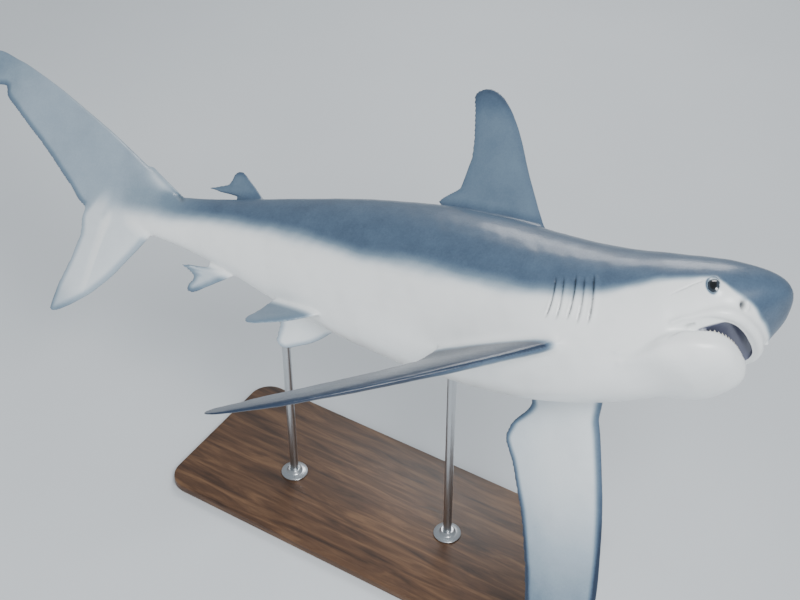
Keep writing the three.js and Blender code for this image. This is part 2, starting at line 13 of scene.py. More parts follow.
import bpy
import numpy as np
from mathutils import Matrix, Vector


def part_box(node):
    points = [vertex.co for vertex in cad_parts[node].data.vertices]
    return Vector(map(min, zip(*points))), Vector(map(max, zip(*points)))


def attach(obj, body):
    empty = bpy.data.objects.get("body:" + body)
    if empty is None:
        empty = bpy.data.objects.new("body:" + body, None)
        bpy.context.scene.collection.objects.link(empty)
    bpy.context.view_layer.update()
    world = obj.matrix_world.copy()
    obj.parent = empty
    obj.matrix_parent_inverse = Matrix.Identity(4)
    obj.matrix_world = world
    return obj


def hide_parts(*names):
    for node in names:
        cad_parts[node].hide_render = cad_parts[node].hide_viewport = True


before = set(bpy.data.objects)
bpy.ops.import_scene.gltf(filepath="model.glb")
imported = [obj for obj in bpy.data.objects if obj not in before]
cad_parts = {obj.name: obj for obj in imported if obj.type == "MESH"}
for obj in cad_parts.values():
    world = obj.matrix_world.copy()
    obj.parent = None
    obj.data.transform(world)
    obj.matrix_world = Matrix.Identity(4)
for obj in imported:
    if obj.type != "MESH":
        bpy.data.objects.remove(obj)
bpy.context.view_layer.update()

import openvdb as vdb
from mathutils import Vector

log = logging.getLogger("shark")
Array = np.ndarray

LENGTH = 2.200          # snout tip to tail tip along the spine, metres
MM = 0.001


# ---- Plain mathematics -------------------------------------------------------------------


def ease(value: Array, start: float = 0.0, end: float = 1.0) -> Array:
    """Smooth step from 0 at start to 1 at end."""
    t = np.clip((value - start) / (end - start), 0.0, 1.0)
    return t * t * (3.0 - 2.0 * t)


def bell(value: Array, centre: float, width: float) -> Array:
    """Bell curve of height 1."""
    return np.exp(-(((value - centre) / width) ** 2))


def soft_min(a: Array, b: Array, reach: Array | float) -> Array:
    """The lower of two distances, with a fillet.

    Args:
        a: First distance.
        b: Second distance.
        reach: How near the two surfaces are where the fillet starts, metres.

    Returns:
        The blended distance, never above either.
    """
    share = np.maximum(reach - np.abs(a - b), 0.0) / reach
    return np.minimum(a, b) - share**3 * reach / 6.0


def soft_max(a: Array, b: Array, reach: Array | float) -> Array:
    """The higher of two distances, with a rounded edge."""
    return -soft_min(-a, -b, reach)


def unit(vector: Sequence[float]) -> Array:
    """The vector scaled to length 1."""
    values = np.asarray(vector, float)
    return values / np.linalg.norm(values)


def ripple(points: Array, wave: float, seed: int) -> Array:
    """Slow irregular waves through space, about -1 to 1.

    Args:
        points: Places, metres.
        wave: Distance between crests, metres.
        seed: Chooses the pattern.

    Returns:
        One number per place.
    """
    rng = np.random.default_rng(seed)
    total = np.zeros(len(points))
    for _ in range(6):
        turn = unit(rng.normal(size=3)) * 2.0 * math.pi / (wave * rng.uniform(0.7, 1.4))
        total += np.sin(points @ turn + rng.uniform(0.0, 2.0 * math.pi))
    return total / 3.2


def ripples(points: Array, rows: Sequence[tuple[float, float, int]]) -> Array:
    """Several ripples added up, each with its height, its wave and its seed."""
    return sum(height * ripple(points, wave, seed) for height, wave, seed in rows)


class MonotoneCurve:
    """A smooth curve through rows of numbers that never overshoots them."""

    def __init__(self, places: Sequence[float], values: Sequence[float]) -> None:
        """Keeps the rows and works out their slopes.

        Args:
            places: Rising positions.
            values: The value at each position.
        """
        self.places = np.asarray(places, float)
        self.values = np.asarray(values, float)
        steps = np.diff(self.values) / np.diff(self.places)
        before, after = steps[:-1], steps[1:]
        same = before * after > 0
        total = np.where(same, before + after, 1.0)
        inner = np.where(same, 2.0 * before * after / total, 0.0)
        self.slopes = np.concatenate([steps[:1], inner, steps[-1:]])

    def __call__(self, place: Array | float) -> Array:
        """The curve at one or many positions."""
        at = np.clip(place, self.places[0], self.places[-1])
        i = np.clip(np.searchsorted(self.places, at) - 1, 0, len(self.places) - 2)
        width = self.places[i + 1] - self.places[i]
        t = (at - self.places[i]) / width
        t2, t3 = t * t, t * t * t
        return (
            (2 * t3 - 3 * t2 + 1) * self.values[i]
            + (t3 - 2 * t2 + t) * width * self.slopes[i]
            + (3 * t2 - 2 * t3) * self.values[i + 1]
            + (t3 - t2) * width * self.slopes[i + 1]
        )


def distance_to_path(points: Array, path: Array) -> tuple[Array, Array]:
    """Distance from places to a line of short segments.

    Args:
        points: Places, N by 3.
        path: Points of the line, M by 3.

    Returns:
        The distances, and how far along the line the nearest point is, from 0 to 1.
    """
    best = np.full(len(points), np.inf)
    where = np.zeros(len(points))
    for i in range(len(path) - 1):
        a, step = path[i], path[i + 1] - path[i]
        t = np.clip((points - a) @ step / (step @ step), 0.0, 1.0)
        gap = np.linalg.norm(points - a - t[:, None] * step, axis=1)
        nearer = gap < best
        best[nearer] = gap[nearer]
        where[nearer] = (i + t[nearer]) / (len(path) - 1)
    return best, where


# ---- The bent spine ----------------------------------------------------------------------


@dataclass(frozen=True)
class Bend:
    """One stretch of the spine that turns, in stations and radians."""

    start: float
    end: float
    side: float
    lift: float


@dataclass
class Spine:
    """Carries the straight animal to its place in the room."""

    bends: tuple[Bend, ...] = (
        Bend(0.06, 0.19, -0.045, 0.010),
        Bend(0.06, 0.30, 0.10, 0.42),
        Bend(0.30, 0.60, 0.11, -0.07),
        Bend(0.58, 0.95, 0.14, -0.05),
    )
    bank: float = 54.0              # degrees, right flank up
    pitch: float = 7.5              # degrees, nose up
    height: float = 0.880           # above the floor, at the reference station
    reference: float = 0.30
    over_base: float = 0.44         # the base is centred under this station
    end: float = 1.04
    steps: int = 1040
    roll: float = -0.18             # radians, the head turned about its own length
    roll_from: float = 0.075
    roll_to: float = 0.185
    knots: Array = field(init=False)

    def __post_init__(self) -> None:
        """Walks the spine both ways from the reference station."""
        step = self.end / self.steps
        start = round(self.reference / step)
        middles = (np.arange(self.steps) + 0.5) * step
        strides = self.axes(middles)[0] * step * LENGTH
        self.knots = np.zeros((self.steps + 1, 3))
        self.knots[start] = (-self.reference * LENGTH, 0.0, 0.0)
        for i in range(start, self.steps):
            self.knots[i + 1] = self.knots[i] - strides[i]
        for i in range(start, 0, -1):
            self.knots[i - 1] = self.knots[i] + strides[i - 1]

    def turn(self, station: Array, kind: str) -> Array:
        """How far the spine has turned since the reference station."""
        total = np.zeros_like(np.asarray(station, float))
        for bend in self.bends:
            amount = getattr(bend, kind)
            total += amount * ease(np.asarray(station, float), bend.start, bend.end)
            total -= amount * float(ease(np.float64(self.reference), bend.start, bend.end))
        return total

    def axes(self, station: Array) -> tuple[Array, Array, Array]:
        """Forward, left and up at each station."""
        side, lift = self.turn(station, "side"), self.turn(station, "lift")
        zero = np.zeros_like(side)
        forward = np.stack(
            [np.cos(side) * np.cos(lift), np.sin(side) * np.cos(lift), -np.sin(lift)], -1
        )
        left = np.stack([-np.sin(side), np.cos(side), zero], -1)
        up = np.cross(forward, left)
        roll = self.roll * (1.0 - ease(np.asarray(station, float), self.roll_from, self.roll_to))
        turn, lean = np.cos(roll)[..., None], np.sin(roll)[..., None]
        return forward, left * turn + up * lean, up * turn - left * lean

    def centre(self, station: Array) -> Array:
        """Points of the bent centre line."""
        at = np.arange(self.steps + 1) * self.end / self.steps
        return np.stack([np.interp(station, at, self.knots[:, k]) for k in range(3)], -1)

    def bent(self, points: Array, held_at: Array | None = None) -> Array:
        """Moves straight points onto the bent spine.

        Args:
            points: Straight places, N by 3, metres.
            held_at: Station that carries each point rigidly, or None for its own.

        Returns:
            The bent places.
        """
        own = np.clip(-points[:, 0] / LENGTH, 0.0, self.end)
        station = own if held_at is None else held_at
        forward, left, up = self.axes(station)
        return (
            self.centre(station)
            + forward * (points[:, :1] + station[:, None] * LENGTH)
            + left * points[:, 1:2]
            + up * points[:, 2:3]
        )

    def in_room(self, points: Array) -> Array:
        """Pitches, banks and raises bent points into the room."""
        b, p = math.radians(-self.bank), math.radians(-self.pitch)
        bank = np.array([[1, 0, 0], [0, math.cos(b), -math.sin(b)], [0, math.sin(b), math.cos(b)]])
        pitch = np.array([[math.cos(p), 0, math.sin(p)], [0, 1, 0], [-math.sin(p), 0, math.cos(p)]])
        turn = pitch @ bank
        reference = self.centre(np.array([self.reference]))[0]
        base = turn @ (self.centre(np.array([self.over_base]))[0] - reference)
        return (points - reference) @ turn.T + (-base[0], -base[1], self.height)


SPINE = Spine()


# ---- Cross-sections ----------------------------------------------------------------------


@dataclass(frozen=True)
class Section:
    """Cross-sections at many places: top, bottom, half width, widest line, in metres."""

    top: Array
    bottom: Array
    half: Array
    widest: Array


class Loft:
    """A body of superellipse sections along x."""

    def __init__(self, rows: Sequence[Sequence[float]], upper: float, lower: Callable) -> None:
        """Reads the table of sections.

        Args:
            rows: Station, top, bottom, half width and widest line, in shares of LENGTH.
            upper: Exponent of the upper half of each section.
            lower: Exponent of the lower half as a function of station.
        """
        self.front, self.back = rows[0][0], rows[-1][0]
        places = [math.sqrt(row[0] - self.front) for row in rows]
        self.grid = np.linspace(0.0, places[-1], 3000)
        self.table = [MonotoneCurve(places, [row[k] for row in rows])(self.grid) for k in (1, 2, 3, 4)]
        self.upper, self.lower = upper, lower

    def section(self, station: Array) -> Section:
        """The sections at these stations."""
        place = np.sqrt(np.maximum(station - self.front, 0.0))
        return Section(*(np.interp(place, self.grid, column) * LENGTH for column in self.table))

    def distance(self, points: Array) -> Array:
        """Distance of each place from the surface, below 0 inside."""
        x, y, z = points.T
        station = -x / LENGTH
        s = self.section(np.clip(station, self.front + 2e-4, self.back))
        above = z > s.widest
        height = np.maximum(np.where(above, s.top - s.widest, s.widest - s.bottom), 1e-4)
        power = np.where(above, self.upper, self.lower(station))
        half = np.maximum(s.half, 1e-4)
        u, v = np.abs(y) / half + 1e-6, np.abs(z - s.widest) / height + 1e-6
        total = u**power + v**power
        r = total ** (1.0 / power)
        steep = r ** (1.0 - power)
        slope = np.hypot(steep * u ** (power - 1.0) / half, steep * v ** (power - 1.0) / height)
        gap = (r - 1.0) / np.maximum(slope, 1.0)
        ahead = np.maximum(x + self.front * LENGTH, 0.0)
        behind = np.maximum(-self.back * LENGTH - x, 0.0)
        past = np.maximum(ahead, behind)
        return np.where(past > 0, np.hypot(np.maximum(gap, 0.0), past), gap)


def lower_squareness(station: Array) -> Array:
    """Exponent of the lower half of a section: flatter under the snout and mouth."""
    return 2.0 + 0.6 * np.exp(-(((station - 0.055) / 0.06) ** 2))


BODY = Loft(
    (
        (0.000, -0.0050, -0.0050, 0.0000, -0.0050),
        (0.004, 0.0060, -0.0150, 0.0150, -0.0060),
        (0.014, 0.0145, -0.0265, 0.0285, -0.0090),
        (0.030, 0.0235, -0.0375, 0.0405, -0.0115),
        (0.047, 0.0310, -0.0495, 0.0497, -0.0125),
        (0.062, 0.0365, -0.0555, 0.0550, -0.0130),
        (0.075, 0.0410, -0.0585, 0.0583, -0.0125),
        (0.085, 0.0440, -0.0620, 0.0600, -0.0115),
        (0.095, 0.0470, -0.0660, 0.0620, -0.0105),
        (0.105, 0.0500, -0.0740, 0.0640, -0.0100),
        (0.125, 0.0555, -0.0800, 0.0660, -0.0100),
        (0.155, 0.0625, -0.0850, 0.0685, -0.0100),
        (0.200, 0.0700, -0.0900, 0.0705, -0.0100),
        (0.250, 0.0755, -0.0940, 0.0710, -0.0100),
        (0.300, 0.0785, -0.0960, 0.0705, -0.0100),
        (0.360, 0.0780, -0.0950, 0.0680, -0.0090),
        (0.425, 0.0720, -0.0885, 0.0615, -0.0070),
        (0.490, 0.0620, -0.0770, 0.0520, -0.0050),
        (0.553, 0.0500, -0.0610, 0.0405, -0.0030),
        (0.617, 0.0375, -0.0425, 0.0290, -0.0010),
        (0.675, 0.0280, -0.0290, 0.0200, 0.0000),
        (0.715, 0.0245, -0.0230, 0.0152, 0.0010),
        (0.735, 0.0300, -0.0170, 0.0115, 0.0070),
        (0.755, 0.0370, -0.0030, 0.0062, 0.0170),
        (0.772, 0.0400, 0.0150, 0.0005, 0.0280),
    ),
    2.0,
    lower_squareness,
)

# The lowered jaw: a flat rim for the teeth over a rounded chin.
JAW = Loft(
    (
        (0.0490, -0.0640, -0.0646, 0.0000, -0.0643),
        (0.0515, -0.0585, -0.0715, 0.0185, -0.0650),
        (0.0570, -0.0548, -0.0775, 0.0305, -0.0650),
        (0.0660, -0.0516, -0.0812, 0.0388, -0.0650),
        (0.0780, -0.0520, -0.0835, 0.0455, -0.0645),
        (0.0930, -0.0515, -0.0845, 0.0507, -0.0640),
        (0.1060, -0.0545, -0.0825, 0.0525, -0.0645),
        (0.1250, -0.0590, -0.0770, 0.0480, -0.0660),
        (0.1450, -0.0630, -0.0700, 0.0400, -0.0660),
    ),
    5.0,
    lambda station: 2.4,
)


# ---- The mouth ---------------------------------------------------------------------------


MOUTH_MIDDLE = np.array([-0.080 * LENGTH, 0.0])     # x and y that the lips and teeth run round


@dataclass
class Mouth:
    """The opening, its lips and the hollow behind them."""

    # Half width of the upper lip's arch along the head, in shares of LENGTH.
    arch: tuple = (
        (0.0430, 0.0), (0.0442, 0.0150), (0.0460, 0.0230), (0.0515, 0.0332),
        (0.0600, 0.0397), (0.0700, 0.0430), (0.0800, 0.0442),
    )
    ridge_radius: float = 0.0115    # metres, the raised band along the upper lip
    ridge_rise: float = 0.0012
    roof: float = 0.017             # how far the palate is domed, metres
    floor: float = 0.012            # how deep the hollow of the lower jaw is, metres
    lip: float = 0.0065             # thickness of the lips, metres
    narrowing: float = 0.076        # station where the opening starts to narrow
    corner: float = 0.094           # station of the mouth's corners
    palate_to: float = 0.080        # station where the palate stops following the head
    jaw_front: float = 0.0515       # station where the lower dish starts
    bowl_front: float = 0.0525      # station where it starts to deepen
    gullet: tuple[float, float] = (0.052, 0.020)    # half width and half height, metres
    gullet_level: float = -0.0510   # share of LENGTH
    gullet_front: float = 0.078     # station
    throat_end: float = 0.128       # station
    path: Array = field(init=False)

    def __post_init__(self) -> None:
        """Lays the lip's line on the underside of the head."""
        stations = np.array([row[0] for row in self.arch])
        halves = np.array([row[1] for row in self.arch])
        share = np.sqrt(stations - stations[0])
        curve = MonotoneCurve(share, halves)
        along = np.linspace(share[-1], 0.0, 30)
        right = [(-(stations[0] + a * a), -float(curve(a))) for a in along]
        left = [(x, -y) for x, y in right[-2::-1]]
        flat = np.array(right + left) * LENGTH
        self.path = np.column_stack([flat, self.under(flat)])
        self.width = lambda station: curve(np.sqrt(np.maximum(station - stations[0], 0.0))) * LENGTH

    @staticmethod
    def under(flat: Array) -> Array:
        """Height of the underside of the head at places x, y."""
        station = -flat[:, 0] / LENGTH
        s = BODY.section(station)
        power = lower_squareness(station)
        u = np.clip(np.abs(flat[:, 1]) / s.half, 0.0, 0.999)
        return s.widest - (1.0 - u**power) ** (1.0 / power) * (s.widest - s.bottom)

    def ridge(self, points: Array) -> Array:
        """Distance from the raised band that follows the upper lip."""
        behind = np.array([(-0.0970, -0.0478), (-0.0885, -0.0464)]) * LENGTH
        flat = np.concatenate([behind, self.path[:, :2], (behind * (1, -1))[::-1]])
        outward = np.column_stack([flat, self.under(flat)])
        away = outward[:, :2] - MOUTH_MIDDLE
        away[:, 0] = np.maximum(away[:, 0], 0.0)
        away /= np.linalg.norm(away, axis=1)[:, None]
        outward[:, :2] += away * 1.15 * self.ridge_radius
        outward[:, 2] += self.ridge_radius - self.ridge_rise
        gap, along = distance_to_path(points, outward)
        taper = 1.0 - 0.95 * ease(np.abs(along - 0.5), 0.22, 0.5)
        return gap - self.ridge_radius * taper

    def hollow(self, points: Array) -> Array:
        """Distance from the hollow of the mouth, below 0 in it."""
        x, y, z = points.T
        station = -x / LENGTH
        arch = self.width(station) * (1.0 - 0.45 * ease(station, self.narrowing, self.corner))
        under = BODY.section(np.clip(station, 0.0, self.palate_to)).bottom
        jaw = JAW.section(station)
        # Upper dish, inside the upper lip.
        wide = np.maximum(arch + 0.15 * self.lip, 1e-3)
        inside = np.clip(1.0 - (y / wide) ** 2, 0.0, 1.0)
        start = (self.arch[0][0] + 0.0006) * LENGTH
        front = -x - start
        dome = self.roof * inside**0.25 * ease(front, -0.004, 0.020)
        upper = np.maximum(np.maximum(np.abs(y) - wide, -front * 0.8), (z - under - 0.004 - dome) * 0.8)
        # Lower dish, inside the toothed rim.
        narrow = np.maximum(jaw.half - 1.5 * self.lip, 1e-3)
        within = np.clip(1.0 - (y / narrow) ** 2, 0.0, 1.0)
        deepens = self.bowl_front * LENGTH
        bowl = self.floor * np.sqrt(within) * ease(-x, deepens, deepens + 0.030)
        lower = np.maximum(np.abs(y) - narrow, self.jaw_front * LENGTH + x)
        lower = np.maximum(lower, (jaw.top - bowl - z) * 0.8)
        # Between them the mouth is open. Behind them is the throat.
        middle = np.maximum(upper, jaw.top - 0.002 - z)
        below = np.maximum(lower, z - under + 0.002)
        back = -x - self.corner * LENGTH
        half, tall = self.gullet
        gullet = (np.hypot(y / half, (z - self.gullet_level * LENGTH) / tall) - 1.0) * tall
        ends = np.maximum(-x - self.throat_end * LENGTH, self.gullet_front * LENGTH + x)
        gullet = np.maximum(gullet, ends)
        gape = soft_min(np.maximum(middle, back), np.maximum(below, back), 0.004)
        return soft_min(gape, gullet, 0.008)


MOUTH = Mouth()


# ---- Eyes --------------------------------------------------------------------------------


@dataclass
class EyeForm:
    """Where an eye is, how big its ball is, and how its lids open."""

    station: float = 0.0600
    side: float = 0.0462
    up: float = -0.0175
    radius: float = 0.0098 * LENGTH
    opening: tuple[float, float] = (0.0128, 0.0190)     # half length and half height, metres
    lid: float = 0.0024                                 # how far the lids stand over the ball

    def centre(self, side: int) -> Array:
        """Centre of the ball on one side of the straight head."""
        return np.array([-self.station, side * self.side, self.up]) * LENGTH

    def axes(self, side: int) -> tuple[Array, Array, Array]:
        """Forward, up and outward directions of the eye."""
        out = unit((0.16, side, 0.06))
        forward = unit(np.array([1.0, 0.0, 0.0]) - out[0] * out)
        return forward, np.cross(out, forward) * side, out

    def local(self, points: Array, side: int) -> tuple[Array, Array, Array]:
        """Places as seen from the ball's centre."""
        shifted = points - self.centre(side)
        forward, up, out = self.axes(side)
        return shifted @ forward, shifted @ up, shifted @ out

    def carve(self, points: Array, distance: Array) -> Array:
        """Swells the lids over the ball and opens them.

        Args:
            points: Straight places.
            distance: Distance from the head there.

        Returns:
            The distance with both eyes carved.
        """
        made = distance.copy()
        for side in (-1, 1):
            near = np.linalg.norm(points - self.centre(side), axis=1) < 0.060
            if not near.any():
                continue
            forward, up, out = self.local(points[near], side)
            ball = np.sqrt(forward**2 + up**2 + out**2) - self.radius
            mound = soft_min(made[near], ball - self.lid, 0.010)
            wide, high = self.opening
            ring = np.hypot(forward / wide, up / high)
            slit = (ring - 1.0) * 0.5 * (wide + high)
            pit = np.maximum(np.maximum(slit, 0.6 * MM - ball - 1.6 * MM), -out)
            made[near] = soft_max(mound, -pit, 1.6 * MM)
        return made


EYES = EyeForm()


# ---- Fins --------------------------------------------------------------------------------


class FinKind(Enum):
    """How a fin is coloured."""

    DORSAL = "dorsal"
    PECTORAL = "pectoral"
    PELVIC = "pelvic"
    ANAL = "anal"
    TAIL = "tail"


PECTORAL_OUTLINE = (
    (-0.14, 0.004, 0.062), (0.00, 0.000, 0.070), (0.07, 0.001, 0.100), (0.12, 0.002, 0.109),
    (0.20, 0.005, 0.106), (0.35, 0.012, 0.106), (0.50, 0.022, 0.110), (0.68, 0.038, 0.119),
    (0.83, 0.058, 0.127), (0.94, 0.083, 0.129), (1.00, 0.112, 0.112),
)
PELVIC_OUTLINE = (
    (-0.35, 0.004, 0.044), (0.00, 0.000, 0.050), (0.12, 0.003, 0.068), (0.30, 0.010, 0.070),
    (0.60, 0.024, 0.066), (0.86, 0.042, 0.066), (1.00, 0.058, 0.058),
)


@dataclass
class Fin:
    """A fin as a blade with rounded edges. Lengths are shares of LENGTH."""

    name: str
    kind: FinKind
    root: tuple[float, float, float]        # station, left, up
    out: tuple[float, float, float]         # from the base to the tip
    face: tuple[float, float, float]        # the fin's upper or left-hand side
    span: float
    thick: float
    outline: tuple                          # height, leading edge, trailing edge
    fillet: float = 0.012                   # metres, where it grows from the body
    held: bool = False                      # stays rigid when the spine bends
    edge: float = 0.0007                    # half thickness at the edges, metres
    taper: float = 0.78

    def __post_init__(self) -> None:
        """Works out the fin's own axes and the tables of its edges."""
        out = unit(self.out)
        aft = unit(np.cross(out, unit(self.face)))
        if aft[0] > 0:
            aft = -aft
        side = np.cross(aft, out)
        side *= np.sign(side @ unit(self.face))
        self.axes = np.stack([aft, out, side], 1)
        self.origin = np.array([-self.root[0], self.root[1], self.root[2]]) * LENGTH
        rows = self.outline[::-1]
        places = [math.sqrt(1.0 - row[0]) for row in rows]
        fine = np.linspace(0.0, places[-1], 600)
        self.heights = (1.0 - fine**2)[::-1]
        self.leading = MonotoneCurve(places, [row[1] for row in rows])(fine)[::-1] * LENGTH
        self.trailing = MonotoneCurve(places, [row[2] for row in rows])(fine)[::-1] * LENGTH
        reach = self.heights * self.span * LENGTH
        self.lead_slope = np.clip(np.gradient(self.leading, reach), -8.0, 8.0)
        self.trail_slope = np.clip(np.gradient(self.trailing, reach), -8.0, 8.0)
        corners = [
            self.origin + self.axes @ (a, h * self.span * LENGTH, 0.0)
            for h, lead, trail in self.outline
            for a in (lead * LENGTH, trail * LENGTH)
        ]
        self.low, self.high = np.min(corners, 0) - 0.045, np.max(corners, 0) + 0.045

    def near(self, points: Array) -> Array:
        """Which places are near enough for the fin to matter."""
        return np.all((points > self.low) & (points < self.high), axis=1)

    def local(self, points: Array) -> tuple[Array, Array, Array]:
        """Distance aft and outward, and height over the blade's middle plane."""
        shifted = (points - self.origin) @ self.axes
        return shifted[:, 0], shifted[:, 1], shifted[:, 2]

    def blade(self, points: Array) -> tuple[Array, Array, Array]:
        """Where places lie on the blade.

        Returns:
            Share of the span, share of the chord, and distance outside the outline.
        """
        aft, out, _ = self.local(points)
        span = self.span * LENGTH
        height = out / span
        level = np.clip(height, self.heights[0], 1.0)
        front = np.interp(level, self.heights, self.leading)
        back = np.interp(level, self.heights, self.trailing)
        ragged = 0.0012 * ripple(points, 0.05, 5) * ease(level, 0.1, 0.4)
        back = back + np.minimum(ragged, 0.0)
        along = np.clip((aft - front) / np.maximum(back - front, 1e-4), 0.0, 1.0)
        ahead = (front - aft) / np.hypot(1.0, np.interp(level, self.heights, self.lead_slope))
        behind = (aft - back) / np.hypot(1.0, np.interp(level, self.heights, self.trail_slope))
        outside = np.maximum(np.maximum(ahead, behind), out - span)
        outside = np.maximum(outside, self.heights[0] * span - out)
        return level, along, outside

    def distance(self, points: Array) -> Array:
        """Distance from the fin's surface, below 0 inside."""
        level, along, outside = self.blade(points)
        over = self.local(points)[2]
        root = np.sqrt(along)
        profile = 10.0 * (
            0.2969 * root - 0.126 * along - 0.3516 * along**2 + 0.2843 * along**3 - 0.1036 * along**4
        )
        taper = 1.0 - self.taper * np.maximum(level, 0.0)
        tip = np.minimum(1.0, 3.0 * np.sqrt(1.0 - level))
        half = self.thick * LENGTH * taper * tip * profile + self.edge
        above = np.abs(over) - half
        corner = np.hypot(np.maximum(above, 0.0), np.maximum(outside, 0.0))
        return np.minimum(np.maximum(above, outside), 0.0) + corner


FINS = (
    Fin(
        "first_dorsal_fin", FinKind.DORSAL, (0.268, 0, 0.074), (0, 0, 1), (0, 1, 0), 0.143, 0.0064,
        (
            (-0.20, -0.020, 0.095), (0.00, 0.000, 0.096), (0.055, 0.006, 0.128),
            (0.10, 0.011, 0.124), (0.20, 0.022, 0.111), (0.40, 0.042, 0.111),
            (0.60, 0.060, 0.117), (0.80, 0.080, 0.126), (0.93, 0.097, 0.132), (1.00, 0.119, 0.119),
        ),
        fillet=0.020,
    ),
    Fin(
        "second_dorsal_fin", FinKind.DORSAL, (0.592, 0, 0.040), (0, 0, 1), (0, 1, 0), 0.030, 0.0030,
        (
            (-0.35, -0.004, 0.034), (0.00, 0.000, 0.036), (0.12, 0.004, 0.072),
            (0.26, 0.009, 0.062), (0.45, 0.016, 0.050), (0.80, 0.030, 0.048), (1.00, 0.042, 0.042),
        ),
        fillet=0.008,
    ),
    Fin(
        "anal_fin", FinKind.ANAL, (0.595, 0, -0.045), (0, 0, -1), (0, -1, 0), 0.032, 0.0030,
        (
            (-0.35, -0.004, 0.036), (0.00, 0.000, 0.039), (0.12, 0.005, 0.070),
            (0.26, 0.011, 0.060), (0.45, 0.020, 0.051), (0.80, 0.036, 0.055), (1.00, 0.050, 0.050),
        ),
        fillet=0.008,
    ),
    Fin(
        "pectoral_fin_right", FinKind.PECTORAL, (0.192, -0.058, -0.050), (-0.46, -0.69, -0.53),
        (-0.245, -0.47, 0.84), 0.312, 0.0080, PECTORAL_OUTLINE, fillet=0.026, held=True,
    ),
    Fin(
        "pectoral_fin_left", FinKind.PECTORAL, (0.188, 0.056, -0.068), (0.25, 0.47, -0.85),
        (0.03, 0.88, 0.47), 0.312, 0.0080, PECTORAL_OUTLINE, fillet=0.026, held=True,
    ),
    Fin(
        "pelvic_fin_right", FinKind.PELVIC, (0.465, -0.022, -0.068), (-0.30, -0.62, -0.72),
        (-0.10, -0.74, 0.66), 0.062, 0.0038, PELVIC_OUTLINE, fillet=0.010, held=True,
    ),
    Fin(
        "pelvic_fin_left", FinKind.PELVIC, (0.465, 0.022, -0.068), (-0.30, 0.62, -0.72),
        (-0.10, 0.74, 0.66), 0.062, 0.0038, PELVIC_OUTLINE, fillet=0.010, held=True,
    ),
    Fin(
        "caudal_upper_lobe", FinKind.TAIL, (0.693, 0, 0.0245), (-0.893, 0, 0.450), (0, 1, 0), 0.325, 0.0125,
        (
            (-0.06, 0.004, 0.036), (0.00, 0.000, 0.046), (0.15, -0.002, 0.072),
            (0.29, -0.004, 0.080), (0.38, -0.005, 0.073), (0.55, -0.006, 0.060),
            (0.72, -0.005, 0.049), (0.82, -0.003, 0.042), (0.855, -0.002, 0.034),
            (0.89, 0.000, 0.040), (0.95, 0.003, 0.036), (1.00, 0.015, 0.015),
        ),
        fillet=0.018,
    ),
    Fin(
        "caudal_lower_lobe", FinKind.TAIL, (0.712, 0, -0.014), (-0.50, 0, -0.866), (0, 1, 0), 0.150, 0.0070,
        (
            (-0.30, 0.006, 0.060), (0.00, 0.000, 0.086), (0.30, -0.003, 0.084),
            (0.45, -0.003, 0.066), (0.65, 0.000, 0.051), (0.85, 0.009, 0.039),
            (0.95, 0.016, 0.031), (1.00, 0.024, 0.024),
        ),
        fillet=0.018,
    ),
)
PAIRED_HOLD = 0.04      # a held fin follows the spine this far behind its root


# ---- The whole animal, straight ----------------------------------------------------------


BODY_BOX = (np.array([-0.80, -0.10, -0.12]) * LENGTH, np.array([0.02, 0.10, 0.10]) * LENGTH)


class SharkForm:
    """The outer shape as one distance. The creases and slits come later, as fine relief."""

    head_end = 0.165        # station, behind the mouth and the jaw
    lips_end = 0.125        # station
    lip_fillet = 0.020      # metres, where the lip's band meets the head
    mouth_edge = 0.0045     # metres, how far the mouth's edge is rounded

    def trunk(self, points: Array) -> Array:
        """Distance from the body, jaw and lips, without fins."""
        made = BODY.distance(points)
        station = -points[:, 0] / LENGTH
        head = (station < self.head_end) & (made < 0.08)
        near, at = points[head], station[head]
        reach = 0.006 + 0.020 * ease(at, 0.080, 0.110)
        flesh = soft_min(made[head], JAW.distance(near), reach)
        lips = (at < self.lips_end) & (near[:, 2] < 0.0)
        flesh[lips] = soft_min(flesh[lips], MOUTH.ridge(near[lips]), self.lip_fillet)
        flesh = soft_max(flesh, -MOUTH.hollow(near), self.mouth_edge)
        made[head] = EYES.carve(near, flesh)
        return made

    def distance(self, points: Array) -> Array:
        """Distance from the whole surface, below 0 inside."""
        made = self.trunk(points)
        for fin in FINS:
            near = fin.near(points)
            if near.any():
                made[near] = soft_min(made[near], fin.distance(points[near]), fin.fillet)
        return made

    def slope(self, points: Array, step: float = 0.3 * MM) -> tuple[Array, Array]:
        """Distance and its direction of growth at each place."""
        here = self.distance(points)
        grow = np.empty_like(points)
        for k in range(3):
            moved = points.copy()
            moved[:, k] += step
            grow[:, k] = (self.distance(moved) - here) / step
        return here, grow

    def settle(self, points: Array, rounds: int, most: float = 2.5 * MM) -> Array:
        """Moves places onto the surface along the steepest way."""
        settled = points.copy()
        for _ in range(rounds):
            here, grow = self.slope(settled)
            size = np.maximum((grow**2).sum(1), 0.05)
            stride = np.clip(here / np.sqrt(size), -most, most)
            settled -= grow * (stride / np.sqrt(size))[:, None]
        return settled


FORM = SharkForm()


# ---- Fine relief and colour zones --------------------------------------------------------


@dataclass
class Crease:
    """A groove in the skin along a line of surface places (station, left, up)."""

    line: tuple
    width: float            # half width, metres
    depth: float            # metres

    def relief(self, points: Array) -> Array:
        """How far the skin moves out along the crease, on both sides."""
        moved = np.zeros(len(points))
        for side in (-1, 1):
            path = np.array([(-s, side * y, z) for s, y, z in self.line]) * LENGTH
            path = FORM.settle(path, 3, 0.03)
            near = np.all((points > path.min(0) - 0.03) & (points < path.max(0) + 0.03), axis=1)
            gap, along = distance_to_path(points[near], path)
            fade = ease(along, 0.0, 0.12) * (1.0 - ease(along, 0.6, 1.0))
            moved[near] -= self.depth * fade * bell(gap, 0.0, self.width)
        return moved


